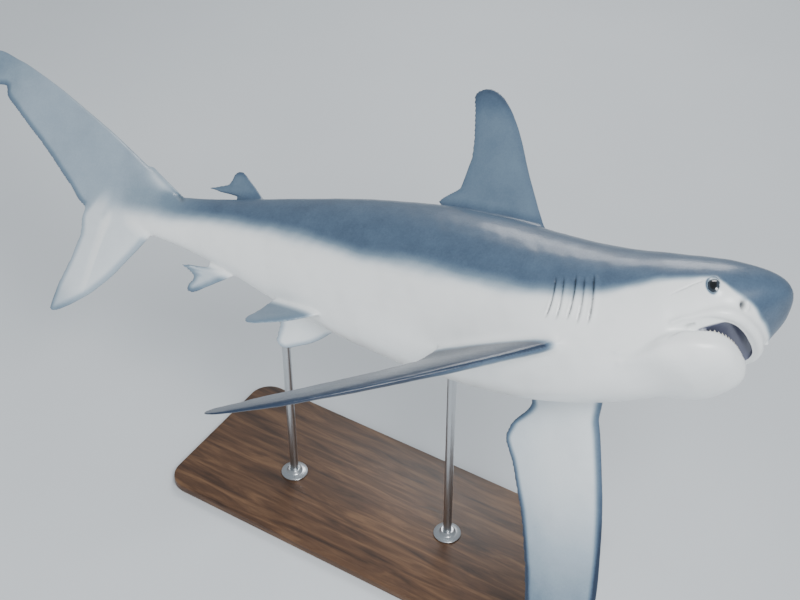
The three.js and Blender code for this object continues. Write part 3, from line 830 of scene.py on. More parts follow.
@dataclass
class Gills:
    """Five overlapping slits on each flank."""

    first: float = 0.166        # station
    last: float = 0.206         # station
    count: int = 5
    reach: float = 0.023        # half length, in shares of LENGTH
    bow: float = 0.007          # how far the ends are swept back, metres
    depth: float = 0.0055       # metres
    width: float = 0.0024       # half width, metres
    flap: float = 0.0022        # how far the flap stands up ahead of a slit, metres
    step: float = 0.0030        # how far the skin is sunk behind it, metres

    def relief(self, points: Array) -> Array:
        """How far the skin moves out round the slits."""
        moved = np.zeros(len(points))
        station = -points[:, 0] / LENGTH
        near = (station > self.first - 0.015) & (station < self.last + 0.025)
        near &= np.abs(points[:, 1]) > 0.030 * LENGTH
        x, _, z = points[near].T
        s = BODY.section(station[near])
        above = z > s.widest
        height = np.where(above, s.top - s.widest, s.widest - s.bottom)
        power = np.where(above, 2.0, lower_squareness(station[near]))
        rise = np.clip(np.abs(z - s.widest) / height, 0.0, 1.0) ** (power / 2.0)
        angle = np.arcsin(rise) * np.where(above, 1.0, -1.0)
        total = np.zeros(len(x))
        for i in range(self.count):
            share = i / (self.count - 1)
            at = self.first + (self.last - self.first) * share
            reach = self.reach * (1.0 - 0.2 * share) * LENGTH / float(BODY.section(np.float64(at)).half)
            level = angle / reach
            wander = 0.0016 * math.sin(2.3 * i + 0.6)
            ahead = x + at * LENGTH + self.bow * level**2 + wander * (1.0 + level)
            ends = ease(np.abs(level - 0.06 * math.sin(4.1 * i)), 0.62, 1.08)
            shown = (1.0 - ends) * (0.86 + 0.14 * math.cos(2.9 * i))
            flap = self.flap * bell(ahead, 0.0055, 0.0065)
            behind = self.step * np.exp(np.minimum(ahead, 0.0) / 0.009) * (ahead < 0)
            slit = self.depth * bell(ahead, 0.0, self.width)
            total += shown * (flap - behind - slit)
        moved[near] = total
        return moved


@dataclass
class Nostrils:
    """A slanting slit under each side of the snout, half covered by a flap."""

    slit: tuple[float, float, float] = (0.0366, 0.0374, -0.0340)    # station, left, up
    flap: tuple[float, float, float] = (0.0322, 0.0354, -0.0360)
    heading: tuple[float, float, float] = (0.45, 0.85, 0.25)        # of the slit
    slit_size: tuple[float, float, float] = (0.0135, 0.0060, 0.0125)    # half length, half width, depth
    flap_size: tuple[float, float] = (0.0066, 0.0062)               # radius and height, metres

    def relief(self, points: Array) -> Array:
        """How far the skin moves out round the nostrils."""
        moved = np.zeros(len(points))
        for side in (-1, 1):
            hole, lobe = (
                FORM.settle(np.array([(-s, side * y, z)]) * LENGTH, 4, 0.03)[0]
                for s, y, z in (self.slit, self.flap)
            )
            along = unit((self.heading[0], side * self.heading[1], self.heading[2]))
            near = np.linalg.norm(points - hole, axis=1) < 0.035
            to_hole, to_lobe = points[near] - hole, points[near] - lobe
            lengthwise = to_hole @ along
            across = np.sqrt(np.maximum((to_hole**2).sum(1) - lengthwise**2, 0.0))
            lobe_size = np.linalg.norm(to_lobe, axis=1)
            long, wide, deep = self.slit_size
            moved[near] -= deep * bell(across, 0.0, wide) * bell(lengthwise, 0.0, long)
            moved[near] += self.flap_size[1] * bell(lobe_size, 0.0, self.flap_size[0])
        return moved


CREASES = (
    # behind the eye, across the cheek
    Crease(((0.0665, 0.055, -0.0120), (0.0750, 0.057, -0.0150), (0.0860, 0.060, -0.0195),
            (0.1020, 0.062, -0.0250)), 0.0019, 0.0026),
    # from the corner of the mouth down and back
    Crease(((0.0780, 0.0440, -0.0480), (0.0850, 0.0470, -0.0510), (0.0930, 0.0500, -0.0550),
            (0.1040, 0.0510, -0.0620)), 0.0034, 0.0042),
    # the lateral line
    Crease(((0.1500, 0.066, 0.0120), (0.2500, 0.070, 0.0120), (0.3600, 0.067, 0.0110),
            (0.4900, 0.051, 0.0080), (0.6170, 0.029, 0.0060), (0.7000, 0.017, 0.0080)), 0.0022, 0.0005),
)


class Relief:
    """All the fine shapes that are pushed into the skin."""

    notch_station = 0.697       # the crescent notch above the root of the tail
    notch_depth = 0.0045        # metres
    ridge_height = 0.0014       # metres, the low ridge between the two dorsal fins
    uneven = ((0.00045, 0.11, 11), (0.00018, 0.035, 12))    # height and wave in metres, seed

    def __init__(self) -> None:
        """Makes the gills and nostrils."""
        self.gills, self.nostrils = Gills(), Nostrils()

    def __call__(self, points: Array) -> Array:
        """How far each place of the skin moves out, metres."""
        moved = self.gills.relief(points) + self.nostrils.relief(points)
        for crease in CREASES:
            moved += crease.relief(points)
        station = -points[:, 0] / LENGTH
        notch = bell(station, self.notch_station - 0.9 * np.abs(points[:, 1]) / LENGTH, 0.0028)
        moved -= self.notch_depth * notch * ease(points[:, 2], 0.014 * LENGTH, 0.023 * LENGTH)
        ridge = bell(points[:, 1], 0.0, 0.004) * ease(station, 0.385, 0.41)
        ridge = ridge * (1.0 - ease(station, 0.57, 0.59))
        moved += self.ridge_height * ridge * (points[:, 2] > 0)
        return moved + ripples(points, self.uneven)


class ColourZones:
    """Where the skin is dark, pale, or the lining of the mouth, from 0 to 1."""

    # Height of the line between back and belly, by station, in shares of LENGTH.
    border = MonotoneCurve(
        (0.000, 0.012, 0.022, 0.030, 0.037, 0.044, 0.050, 0.056, 0.064, 0.080, 0.110, 0.155, 0.230, 0.330,
         0.425, 0.510, 0.610, 0.700),
        (-0.060, -0.053, -0.039, -0.0320, -0.0268, -0.0215, -0.0150, -0.0095, -0.0078, -0.0070, -0.0060,
         -0.0050, -0.006, -0.010, -0.010, -0.004, 0.000, -0.004),
    )
    wander = ((0.0045, 0.16, 21), (0.0018, 0.045, 22))      # height, wave in metres, seed
    tail_paling_partly_lit = 0.36            # how much paler the back is at the tail, partly its own tone and partly painted light
    pale_flap = 0.9             # how much paler the flap of the nostril is
    rim = (-0.018, -0.002)      # metres inside a fin's edge where its darker rim starts and is full

    def dark(self, points: Array) -> Array:
        """Share of the dark colour of the back, with a ring of painted shade on the lids."""
        station = -points[:, 0] / LENGTH
        height = points[:, 2] / LENGTH - self.border(station) + ripples(points, self.wander) * 0.45
        soft = 0.0042 + 0.010 * ease(station, 0.05, 0.25)
        made = ease(height, -soft, soft) * (1.0 - self.tail_paling_partly_lit * ease(station, 0.63, 0.74))
        for side in (-1, 1):
            # Each eye gets a ring of painted shade on its lids.
            made = np.maximum(made, self.painted_lid_shade(points, side))
            flap = np.array([-Nostrils.flap[0], side * Nostrils.flap[1], Nostrils.flap[2]]) * LENGTH
            made *= 1.0 - self.pale_flap * bell(np.linalg.norm(points - flap, axis=1), 0.0, 0.009)
        trunk = BODY.distance(points)
        for fin in FINS:
            near = fin.near(points)
            if not near.any():
                continue
            place = points[near]
            own = fin.distance(place)
            mine = ease(own, 0.016, 0.0) * ease(own - trunk[near], 0.006, -0.012)
            mine *= ease(trunk[near], 0.002, 0.030)
            level, along, outside = fin.blade(place)
            over = fin.local(place)[2]
            made[near] = made[near] * (1.0 - mine) + self.on_fin(fin, level, along, outside, over) * mine
        return made

    @staticmethod
    def painted_lid_shade(points: Array, side: int) -> Array:
        """Share of painted shade on the lids, a dark ring strongest behind and above the eye."""
        forward, up, out = EYES.local(points, side)
        wide, high = EYES.opening
        ring = np.hypot(forward / wide, up / high)
        behind = ease(-forward / wide + 0.6 * up / high, -0.6, 0.9)
        return bell(ring, 1.02, 0.17) * (0.30 + 0.65 * behind) * (out > 0.0)

    def on_fin(self, fin: Fin, level: Array, along: Array, outside: Array, over: Array) -> Array:
        """Share of the dark colour on one fin, over 1 where it is deeper than the back's."""
        rim = ease(outside, *self.rim)
        tip = ease(level, 0.70, 0.98)
        if fin.kind is FinKind.PECTORAL:
            upper = ease(over, -0.0008, 0.0008)
            under = 0.20 + 0.75 * rim + 0.55 * ease(level, 0.20, 0.85) + 0.10 * ease(along, 0.5, 1.0)
            return np.clip(upper * (1.15 + 0.05 * tip) + (1.0 - upper) * under, 0.0, 1.2)
        if fin.kind is FinKind.DORSAL:
            return np.clip(0.84 + 0.18 * tip + 0.06 * rim, 0.0, 1.05)
        # The tail is paler than the back, partly its own tone and partly painted light.
        if fin.kind is FinKind.TAIL:
            if fin.name == "caudal_lower_lobe":
                return 0.22 + 0.30 * rim + 0.20 * tip
            return np.clip(0.56 + 0.30 * rim * ease(along, 0.3, 0.9) + 0.14 * tip, 0.0, 1.0)
        if fin.kind is FinKind.PELVIC:
            upper = ease(over, -0.0006, 0.0006)
            return 0.75 * upper + (1.0 - upper) * (0.12 + 0.35 * rim)
        return 0.35 + 0.35 * rim + 0.20 * tip

    @staticmethod
    def lining(points: Array) -> Array:
        """Share of the mouth's lining."""
        made = np.zeros(len(points))
        station = -points[:, 0] / LENGTH
        near = (station > 0.044) & (station < 0.135)
        made[near] = 1.0 - ease(MOUTH.hollow(points[near]), 0.0004, 0.0030)
        return made


# ---- Meshes and objects ------------------------------------------------------------------


def make_piece(name: str, points: Array, faces: Sequence, finish: bpy.types.Material) -> bpy.types.Object:
    """Makes a smooth-shaded object from room points and faces."""
    mesh = bpy.data.meshes.new(name)
    mesh.from_pydata(np.asarray(points, float).tolist(), [], [tuple(map(int, f)) for f in faces])
    mesh.validate()
    mesh.polygons.foreach_set("use_smooth", np.ones(len(mesh.polygons), bool))
    mesh.materials.append(finish)
    piece = bpy.data.objects.new(name, mesh)
    bpy.context.scene.collection.objects.link(piece)
    return piece


def store(piece: bpy.types.Object, name: str, values: Array) -> None:
    """Keeps a number or a vector at each of the object's points as an attribute."""
    kind, key = ("FLOAT", "value") if values.ndim == 1 else ("FLOAT_VECTOR", "vector")
    layer = piece.data.attributes.new(name, kind, "POINT")
    layer.data.foreach_set(key, values.astype(np.float32).ravel())


def ring_faces(rings: int, size: int, first: int = 0) -> list[tuple[int, ...]]:
    """Faces that join closed rings of points, with both ends capped."""
    faces = []
    for r in range(rings - 1):
        for i in range(size):
            a, b = first + r * size + i, first + r * size + (i + 1) % size
            faces.append((a, b, b + size, a + size))
    faces.append(tuple(range(first + size - 1, first - 1, -1)))
    last = first + (rings - 1) * size
    faces.append(tuple(range(last, last + size)))
    return faces


def unit_ball(rings: int, size: int, margin: float) -> Array:
    """Points of a ball of radius 1 in rings round z, from this angle off the top to as far off the foot."""
    polar = np.linspace(margin, math.pi - margin, rings)
    turn = np.linspace(0.0, 2.0 * math.pi, size, endpoint=False)
    p, r = np.meshgrid(polar, turn, indexing="ij")
    return np.stack([np.sin(p) * np.cos(r), np.sin(p) * np.sin(r), np.cos(p)], -1).reshape(-1, 3)


# ---- The skin's mesh ---------------------------------------------------------------------


@dataclass
class Quilt:
    """A mesh as points and faces, where a face may have four corners or more."""

    points: Array
    quads: Array
    others: list[list[int]] = field(default_factory=list)

    def refined(self, chosen: Array) -> "Quilt":
        """Splits the chosen quads in four.

        Args:
            chosen: One flag per quad.

        Returns:
            The finer mesh. Neighbours of a split quad take its new edge points as corners.
        """
        picked = self.quads[chosen]
        pairs = np.stack([picked, np.roll(picked, -1, 1)], -1).reshape(-1, 2)
        ordered = np.sort(pairs, 1)
        size = len(self.points)
        keys, back = np.unique(ordered[:, 0] * size + ordered[:, 1], return_inverse=True)
        middles = 0.5 * (self.points[keys // size] + self.points[keys % size])
        hubs = self.points[picked].mean(1)
        edge = size + back.reshape(-1, 4)
        hub = size + len(keys) + np.arange(len(picked))
        small = [
            np.stack([picked[:, k], edge[:, k], hub, edge[:, k - 1]], -1) for k in range(4)
        ]
        kept = self.quads[~chosen]
        sides = np.stack([kept, np.roll(kept, -1, 1)], -1)
        side_keys = sides.min(-1) * size + sides.max(-1)
        found = np.searchsorted(keys, side_keys)
        found = np.where(found < len(keys), found, 0)
        split = keys[found] == side_keys
        touched = split.any(1)
        others = []
        for corners, has, where in zip(kept[touched], split[touched], found[touched]):
            outline = []
            for k in range(4):
                outline.append(int(corners[k]))
                if has[k]:
                    outline.append(size + int(where[k]))
            others.append(outline)
        known = {int(key): size + i for i, key in enumerate(keys)} if self.others else {}
        for outline in self.others:
            wider = []
            for k, corner in enumerate(outline):
                following = outline[(k + 1) % len(outline)]
                wider.append(corner)
                middle = known.get(min(corner, following) * size + max(corner, following))
                if middle is not None:
                    wider.append(middle)
            others.append(wider)
        points = np.concatenate([self.points, middles, hubs])
        return Quilt(points, np.concatenate([kept[~touched], *small]), others)

    def largest(self) -> "Quilt":
        """The largest connected part, without loose crumbs."""
        label = np.arange(len(self.points))
        while True:
            spread = label.copy()
            np.minimum.at(spread, self.quads.ravel(), np.repeat(label[self.quads].min(1), 4))
            spread = spread[spread]
            if np.array_equal(spread, label):
                break
            label = spread
        kept = label == np.bincount(label).argmax()
        place = np.cumsum(kept) - 1
        return Quilt(self.points[kept], place[self.quads[kept[self.quads[:, 0]]]])

    def edges(self) -> Array:
        """Every pair of neighbouring points that a quad joins."""
        pairs = np.stack([self.quads, np.roll(self.quads, -1, 1)], -1).reshape(-1, 2)
        return np.unique(np.sort(pairs, 1), axis=0)

    def relaxed(self, share: float) -> Array:
        """Points moved part of the way to the middle of their neighbours."""
        a, b = self.edges().T
        count = np.bincount(a, minlength=len(self.points)) + np.bincount(b, minlength=len(self.points))
        total = np.zeros_like(self.points)
        for k in range(3):
            total[:, k] = np.bincount(a, self.points[b, k], len(self.points))
            total[:, k] += np.bincount(b, self.points[a, k], len(self.points))
        middle = total / np.maximum(count, 1)[:, None]
        moved = self.points + (middle - self.points) * share
        moved[count < 3] = self.points[count < 3]
        return moved


@dataclass
class SkinMesher:
    """Meshes the straight animal and carries the mesh into the room."""

    voxel: float = 4.0 * MM
    swell: float = 1.5 * MM         # meshed this far out, so that thin fins survive
    block: int = 8
    gill_zone: tuple = ((0.157, 0.213), (-0.038, 0.020))    # stations and heights meshed finely
    nose: tuple[float, float, float] = (-0.034, 0.035, -0.026)      # near the nostril, x, y, z

    def coarse(self) -> Quilt:
        """Meshes the swollen surface on a sparse grid."""
        width = self.voxel * self.block
        low = np.min([BODY_BOX[0], *(fin.low for fin in FINS)], 0)
        high = np.max([BODY_BOX[1], *(fin.high for fin in FINS)], 0)
        low, high = np.floor(low / width).astype(int), np.ceil(high / width).astype(int)
        corner = np.stack(np.meshgrid(*map(np.arange, low, high), indexing="ij"), -1).reshape(-1, 3)
        middle = (corner + 0.5) * width
        near = self.blocks_near(middle, width)
        corner = corner[near]
        step = np.stack(np.meshgrid(*[np.arange(self.block)] * 3, indexing="ij"), -1).reshape(-1, 3)
        band = 3.0 * self.voxel
        grid = vdb.FloatGrid(band)
        for first in range(0, len(corner), 600):
            group = corner[first : first + 600]
            places = (group[:, None] * self.block + step[None]) * self.voxel
            gaps = FORM.distance(places.reshape(-1, 3)) - self.swell
            gaps = np.clip(gaps, -band, band).reshape(len(group), *[self.block] * 3).astype(np.float32)
            for place, values in zip(group, gaps):
                origin = tuple(int(v) for v in place * self.block)
                grid.copyFromArray(np.ascontiguousarray(values), ijk=origin)
        grid.gridClass = vdb.GridClass.LEVEL_SET
        grid.signedFloodFill()
        points, quads = grid.convertToQuads(isovalue=0.0)
        log.info("skin: %d blocks, %d quads", len(corner), len(quads))
        return Quilt(points.astype(float) * self.voxel, quads.astype(np.int64)[:, ::-1]).largest()

    @staticmethod
    def blocks_near(middle: Array, width: float) -> Array:
        """Which blocks of the grid the surface may cross."""
        near = np.zeros(len(middle), bool)
        for first in range(0, len(middle), 200_000):
            part = slice(first, first + 200_000)
            near[part] = np.abs(FORM.distance(middle[part])) < 1.25 * width
        return near

    def mesh(self) -> Quilt:
        """The whole skin of the straight animal, settled on its exact surface."""
        quilt = self.coarse()
        quilt.points = FORM.settle(quilt.points, 2)
        for _ in range(2):
            quilt.points = FORM.settle(quilt.relaxed(0.5), 1)
        for level in (0, 1):
            middle = quilt.points[quilt.quads].mean(1)
            quilt = quilt.refined(self.wanted(middle, level))
            quilt.points = FORM.settle(quilt.points, 2)
            quilt.points = FORM.settle(quilt.relaxed(0.35), 1)
        log.info("skin: %d quads and %d larger faces", len(quilt.quads), len(quilt.others))
        return quilt

    def wanted(self, middle: Array, level: int) -> Array:
        """Which faces are split at this level of detail."""
        station = -middle[:, 0] / LENGTH
        side, up = np.abs(middle[:, 1]), middle[:, 2] / LENGTH
        folded = middle * (1, 0, 1) + side[:, None] * (0, 1, 0)
        eye = np.linalg.norm(folded - EYES.centre(1), axis=1)
        if level == 0:
            (front, back), (low, high) = self.gill_zone
            gills = (station > front) & (station < back) & (up > low) & (up < high)
            head = (station < 0.118) & ((up < 0.012) | (eye < 0.05))
            return head | (gills & (side > 0.04 * LENGTH))
        nose = np.linalg.norm(folded - np.array(self.nose) * LENGTH, axis=1)
        lips = distance_to_path(middle, MOUTH.path)[0]
        return (eye < 0.030) | (nose < 0.024) | ((lips < 0.012) & (station < 0.09))


class SharkSkin:
    """The one skin that stands for every node of flesh."""

    full_shade_depth = 0.012       # metres below the surface where the painted shade in a slit, crease or pit is at its darkest

    def __init__(self) -> None:
        """Meshes the skin and works out its relief and colours."""
        self.quilt = SkinMesher().mesh()
        flat = self.quilt.points
        grow = FORM.slope(flat)[1]
        normals = grow / np.maximum(np.linalg.norm(grow, axis=1), 1e-6)[:, None]
        relief, colours = Relief()(flat), ColourZones()
        self.shaped = flat + normals * relief[:, None]
        self.zones = {
            "dark": colours.dark(flat),
            "lining": colours.lining(flat),
            # hollow: painted shade, darker the deeper the skin is sunk into slits, creases and pits
            "hollow": np.clip(-relief / self.full_shade_depth, 0.0, 1.0),
            "rest": flat,
        }

    def build(self, finish: bpy.types.Material) -> bpy.types.Object:
        """Makes the skin's object, posed in the room.

        Args:
            finish: The hide's material.

        Returns:
            The object, with its zones as attributes.
        """
        posed = SPINE.in_room(posed_points(self.shaped))
        faces = self.quilt.quads.tolist() + self.quilt.others
        piece = make_piece("shark_skin", posed, faces, finish)
        for name, values in self.zones.items():
            store(piece, name, values)
        return piece


def posed_points(points: Array) -> Array:
    """Bends straight places, with the paired fins carried rigidly beyond their roots."""
    bent = SPINE.bent(points)
    trunk = BODY.distance(points)
    for fin in FINS:
        if not fin.held:
            continue
        near = fin.near(points)
        place = points[near]
        nearest = fin.distance(place) < 0.012
        share = ease(trunk[near], 0.0, 0.070) * nearest
        held = np.full(len(place), fin.root[0] + PAIRED_HOLD)
        rigid = SPINE.bent(place, held)
        bent[near] += (rigid - bent[near]) * share[:, None]
    return bent


# ---- Finishes ----------------------------------------------------------------------------


def linear(hex_colour: str) -> tuple[float, float, float, float]:
    """Turns an sRGB colour such as #8090a0 into linear red, green, blue and alpha."""
    parts = [int(hex_colour[k : k + 2], 16) / 255.0 for k in (1, 3, 5)]
    made = [c / 12.92 if c <= 0.04045 else ((c + 0.055) / 1.055) ** 2.4 for c in parts]
    return (*made, 1.0)


def per_metre(size_mm: float) -> float:
    """Pattern scale that repeats once in this many millimetres."""
    return 1000.0 / size_mm


class Recipe:
    """One material, mixed from the few kinds of node that the finishes need."""

    def __init__(self, name: str) -> None:
        """Starts an empty material."""
        self.material = bpy.data.materials.new(name)
        self.material.use_nodes = True
        self.tree = self.material.node_tree
        self.tree.nodes.clear()

    def node(self, kind: str, settings: dict | None = None, feeds: dict | None = None) -> bpy.types.Node:
        """Adds one node.

        Args:
            kind: Blender's name of the node type.
            settings: Values of its own settings.
            feeds: What goes into its sockets: another socket, a value, or a colour such as #8090a0.

        Returns:
            The new node.
        """
        made = self.tree.nodes.new(kind)
        for name, value in (settings or {}).items():
            setattr(made, name, value)
        for name, source in (feeds or {}).items():
            if isinstance(source, bpy.types.NodeSocket):
                self.tree.links.new(source, made.inputs[name])
            else:
                made.inputs[name].default_value = linear(source) if isinstance(source, str) else source
        return made

    def attribute(self, name: str, output: str = "Fac") -> bpy.types.NodeSocket:
        """One of the mesh's own attributes."""
        return self.node("ShaderNodeAttribute", {"attribute_name": name}).outputs[output]

    def place(self, scale: tuple[float, float, float] | None = None) -> bpy.types.NodeSocket:
        """The object's own coordinates, drawn out along the axes with a small scale."""
        where = self.node("ShaderNodeTexCoord").outputs["Object"]
        if scale is None:
            return where
        return self.node("ShaderNodeMapping", None, {"Vector": where, "Scale": scale}).outputs["Vector"]

    def noise(self, where: bpy.types.NodeSocket, size_mm: float, **more: float) -> bpy.types.NodeSocket:
        """Cloudy noise from 0 to 1, with details of about this size at most."""
        feeds = {"Vector": where, "Scale": per_metre(size_mm)}
        feeds |= {name.capitalize(): value for name, value in more.items()}
        return self.node("ShaderNodeTexNoise", None, feeds).outputs["Fac"]

    def maths(self, operation: str, *sources: object, clamped: bool = False) -> bpy.types.NodeSocket:
        """One sum of two or three numbers."""
        settings = {"operation": operation, "use_clamp": clamped}
        return self.node("ShaderNodeMath", settings, dict(enumerate(sources))).outputs[0]

    def spread(self, value: bpy.types.NodeSocket, low: float, high: float) -> bpy.types.NodeSocket:
        """Goes from low to high as the value goes from 0 to 1."""
        feeds = {"Value": value, "To Min": low, "To Max": high}
        return self.node("ShaderNodeMapRange", None, feeds).outputs["Result"]

    def ramp(self, value: bpy.types.NodeSocket, stops: Sequence[tuple[float, str]]) -> bpy.types.NodeSocket:
        """A colour that changes with the value."""
        made = self.node("ShaderNodeValToRGB", None, {"Fac": value})
        elements = made.color_ramp.elements
        while len(elements) < len(stops):
            elements.new(0.5)
        for element, (place, colour) in zip(elements, stops):
            element.position = place
            element.color = linear(colour)
        return made.outputs["Color"]

    def mix(self, share: object, low: object, high: object, how: str = "MIX") -> bpy.types.NodeSocket:
        """A colour that goes from low to high with the share."""
        settings = {"data_type": "RGBA", "blend_type": how}
        return self.node("ShaderNodeMix", settings, {0: share, 6: low, 7: high}).outputs[2]

    def bump(
        self, height: bpy.types.NodeSocket, strength: float, depth: float, **more: bpy.types.NodeSocket
    ) -> bpy.types.NodeSocket:
        """The normal of a surface with small bumps."""
        feeds = {"Height": height, "Strength": strength, "Distance": depth}
        feeds |= {name.capitalize(): value for name, value in more.items()}
        return self.node("ShaderNodeBump", None, feeds).outputs["Normal"]

    def surface(self, feeds: dict) -> bpy.types.Material:
        """Ends the material with its surface shader, fed as asked."""
        shader = self.node("ShaderNodeBsdfPrincipled", None, feeds)
        self.node("ShaderNodeOutputMaterial", None, {"Surface": shader.outputs["BSDF"]})
        return self.material


@dataclass(frozen=True)
class HideFinish:
    """Cast resin hide, sprayed by hand and satin varnished: wet-looking, with fine denticles."""

    stops: tuple = (
        (0.00, "#f1f4f4"), (0.14, "#e3e9ec"), (0.38, "#a9b8c4"), (0.62, "#6f8496"),
        (0.84, "#4c6076"), (1.00, "#233248"),
    )
    lining: str = "#5e6277"
    # slit: the colour of the painted shade in sunken skin
    slit: str = "#2b3541"
    roughness: float = 0.36
    denticle: float = 1.8           # mm; real ones are about 0.4, drawn as coarse as they show
    fleck: float = 5.0              # mm
    mottle: float = 55.0            # mm

    def build(self) -> bpy.types.Material:
        """Makes the material from the skin's attributes."""
        hide = Recipe("cast_resin_hide_satin_varnish")
        rest, dark = hide.attribute("rest", "Vector"), hide.attribute("dark")
        cloud = hide.noise(rest, self.mottle, detail=7.0, roughness=0.62)
        fleck = hide.noise(rest, self.fleck, detail=3.0, roughness=0.7)
        # The mottling goes with the dark colour, and is faint on the belly.
        shift = hide.maths("MULTIPLY_ADD", cloud, 0.16, -0.08)
        both = hide.maths("ADD", shift, hide.maths("MULTIPLY_ADD", fleck, 0.12, -0.06))
        mottling = hide.maths("MULTIPLY", both, hide.maths("MULTIPLY_ADD", dark, 0.85, 0.15))
        tone = hide.maths("ADD", hide.maths("MULTIPLY", dark, 0.86), mottling, clamped=True)
        colour = hide.mix(hide.attribute("lining"), hide.ramp(tone, self.stops), self.lining)
        grain = hide.node(
            "ShaderNodeTexVoronoi", None, {"Scale": per_metre(self.denticle), "Vector": rest}
        ).outputs["Distance"]
        fine = hide.bump(grain, 0.10, 0.25 * MM)
        return hide.surface({
            # Painted shade: sunken skin is darkened towards the slit colour by its depth
            "Base Color": hide.mix(hide.attribute("hollow"), colour, self.slit),
            "Roughness": hide.spread(fleck, self.roughness - 0.07, self.roughness + 0.09),
            "Normal": hide.bump(fleck, 0.22, 0.9 * MM, normal=fine),
            "IOR": 1.48, "Coat Weight": 0.30, "Coat Roughness": 0.16,
        })


@dataclass(frozen=True)
class EyeFinish:
    """Blown glass eye with a painted back: a dark oval pupil in a narrow steel-grey iris."""

    pupil: tuple[float, float] = (5.2, 9.5)     # half length and half height, mm
    stops: tuple = (                            # from the pupil's middle outward
        (0.0, "#040506"), (0.26, "#06080a"), (0.36, "#222a33"), (0.60, "#35404c"), (1.0, "#0f1317"),
    )

    def build(self) -> bpy.types.Material:
        """Makes the material from the ball's gaze coordinates."""
        eye = Recipe("blown_glass_eye_painted")
        gaze = eye.attribute("gaze", "Vector")
        oval = eye.node(
            "ShaderNodeVectorMath", {"operation": "MULTIPLY"},
            {0: gaze, 1: (1.0 / self.pupil[0], 1.0 / self.pupil[1], 0.0)},
        ).outputs[0]
        edge = eye.node("ShaderNodeVectorMath", {"operation": "LENGTH"}, {0: oval}).outputs["Value"]
        feeds = {"Value": edge, "From Min": 0.6, "From Max": 2.6}
        outward = eye.node("ShaderNodeMapRange", None, feeds).outputs["Result"]
        feeds = {"Vector": gaze, "Scale": 0.9, "Detail": 4.0}
        streak = eye.node("ShaderNodeTexNoise", None, feeds).outputs["Color"]
        return eye.surface({
            "Base Color": eye.mix(0.45, eye.ramp(outward, self.stops), streak, "MULTIPLY"),
            "Roughness": 0.16, "IOR": 1.50, "Coat Weight": 0.5, "Coat Roughness": 0.05,
        })


@dataclass(frozen=True)
class ToothFinish:
    """Glazed porcelain enamel: clean white, a little creamy at the gum."""

    crown: str = "#f6f5ee"
    root: str = "#e2dcc9"

    def build(self) -> bpy.types.Material:
        """Makes the material with cream roots and a faint fine bump."""
        tooth = Recipe("glazed_porcelain_tooth")
        return tooth.surface({
            "Base Color": tooth.mix(tooth.attribute("height"), self.root, self.crown),
            "Normal": tooth.bump(tooth.noise(tooth.place(), 0.8), 0.1, 0.1 * MM),
            "Roughness": 0.18, "IOR": 1.55,
        })


@dataclass(frozen=True)
class LiningFinish:
    """Cast silicone mouth lining, painted blue-grey: soft, moist and finely wrinkled."""

    low: str = "#50546a"
    high: str = "#7a7e93"

    def build(self) -> bpy.types.Material:
        """Makes the material with wrinkles every few millimetres."""
        lining = Recipe("cast_silicone_mouth_lining")
        wrinkles = lining.noise(lining.place(), 6.0, detail=5.0)
        return lining.surface({
            "Base Color": lining.mix(wrinkles, self.low, self.high),
            "Normal": lining.bump(wrinkles, 0.4, 0.6 * MM),
            "Roughness": 0.32, "IOR": 1.41,
        })


@dataclass(frozen=True)
class WalnutFinish:
    """Oiled walnut board, planed along the grain: dark streaks with a low satin sheen."""

    dark: str = "#35241a"
    mid: str = "#5a3f2c"
    pale: str = "#77583e"
    ring: float = 22.0              # mm between growth rings on the face of the board
    pore: float = 1.6               # mm

    def build(self) -> bpy.types.Material:
        """Makes the material with long grain along x."""
        wood = Recipe("oiled_walnut_board")
        wave = wood.noise(wood.place((0.10, 1.0, 1.0)), self.ring, detail=5.0, roughness=0.6, distortion=0.6)
        pores = wood.noise(wood.place((0.04, 1.0, 1.0)), self.pore, detail=2.0)
        colour = wood.ramp(wave, ((0.30, self.dark), (0.50, self.mid), (0.68, self.pale)))
        return wood.surface({
            "Base Color": wood.mix(0.35, colour, pores, "MULTIPLY"),
            "Normal": wood.bump(pores, 0.25, 0.2 * MM),
            "Roughness": wood.spread(pores, 0.36, 0.56),
        })


@dataclass(frozen=True)
class SteelFinish:
    """Stainless steel, brushed: a soft metal shine broken by fine lines along the rod."""

    colour: str = "#c3c6c9"
    line: float = 0.7               # mm; real brushing is finer, drawn as coarse as it shows

    def build(self) -> bpy.types.Material:
        """Makes the material with brushing along z."""
        steel = Recipe("brushed_stainless_steel")
        lines = steel.noise(steel.place((1.0, 1.0, 0.03)), self.line, detail=3.0)
        return steel.surface({
            "Base Color": self.colour, "Metallic": 1.0,
            "Normal": steel.bump(lines, 0.12, 0.05 * MM),
            "Roughness": steel.spread(lines, 0.20, 0.42),
        })


@dataclass(frozen=True)
class FloorFinish:
    """Pale sealed plaster screed: matt, with a barely uneven tone."""

    low: str = "#cdd2d6"
    high: str = "#d8dcdf"
    cloud: float = 700.0            # mm

    def build(self) -> bpy.types.Material:
        """Makes the material with slow clouds of tone."""
        plaster = Recipe("sealed_plaster_floor")
        cloud = plaster.noise(plaster.place(), self.cloud, detail=4.0)
        return plaster.surface({"Base Color": plaster.mix(cloud, self.low, self.high), "Roughness": 0.75})


# ---- Separate pieces ---------------------------------------------------------------------


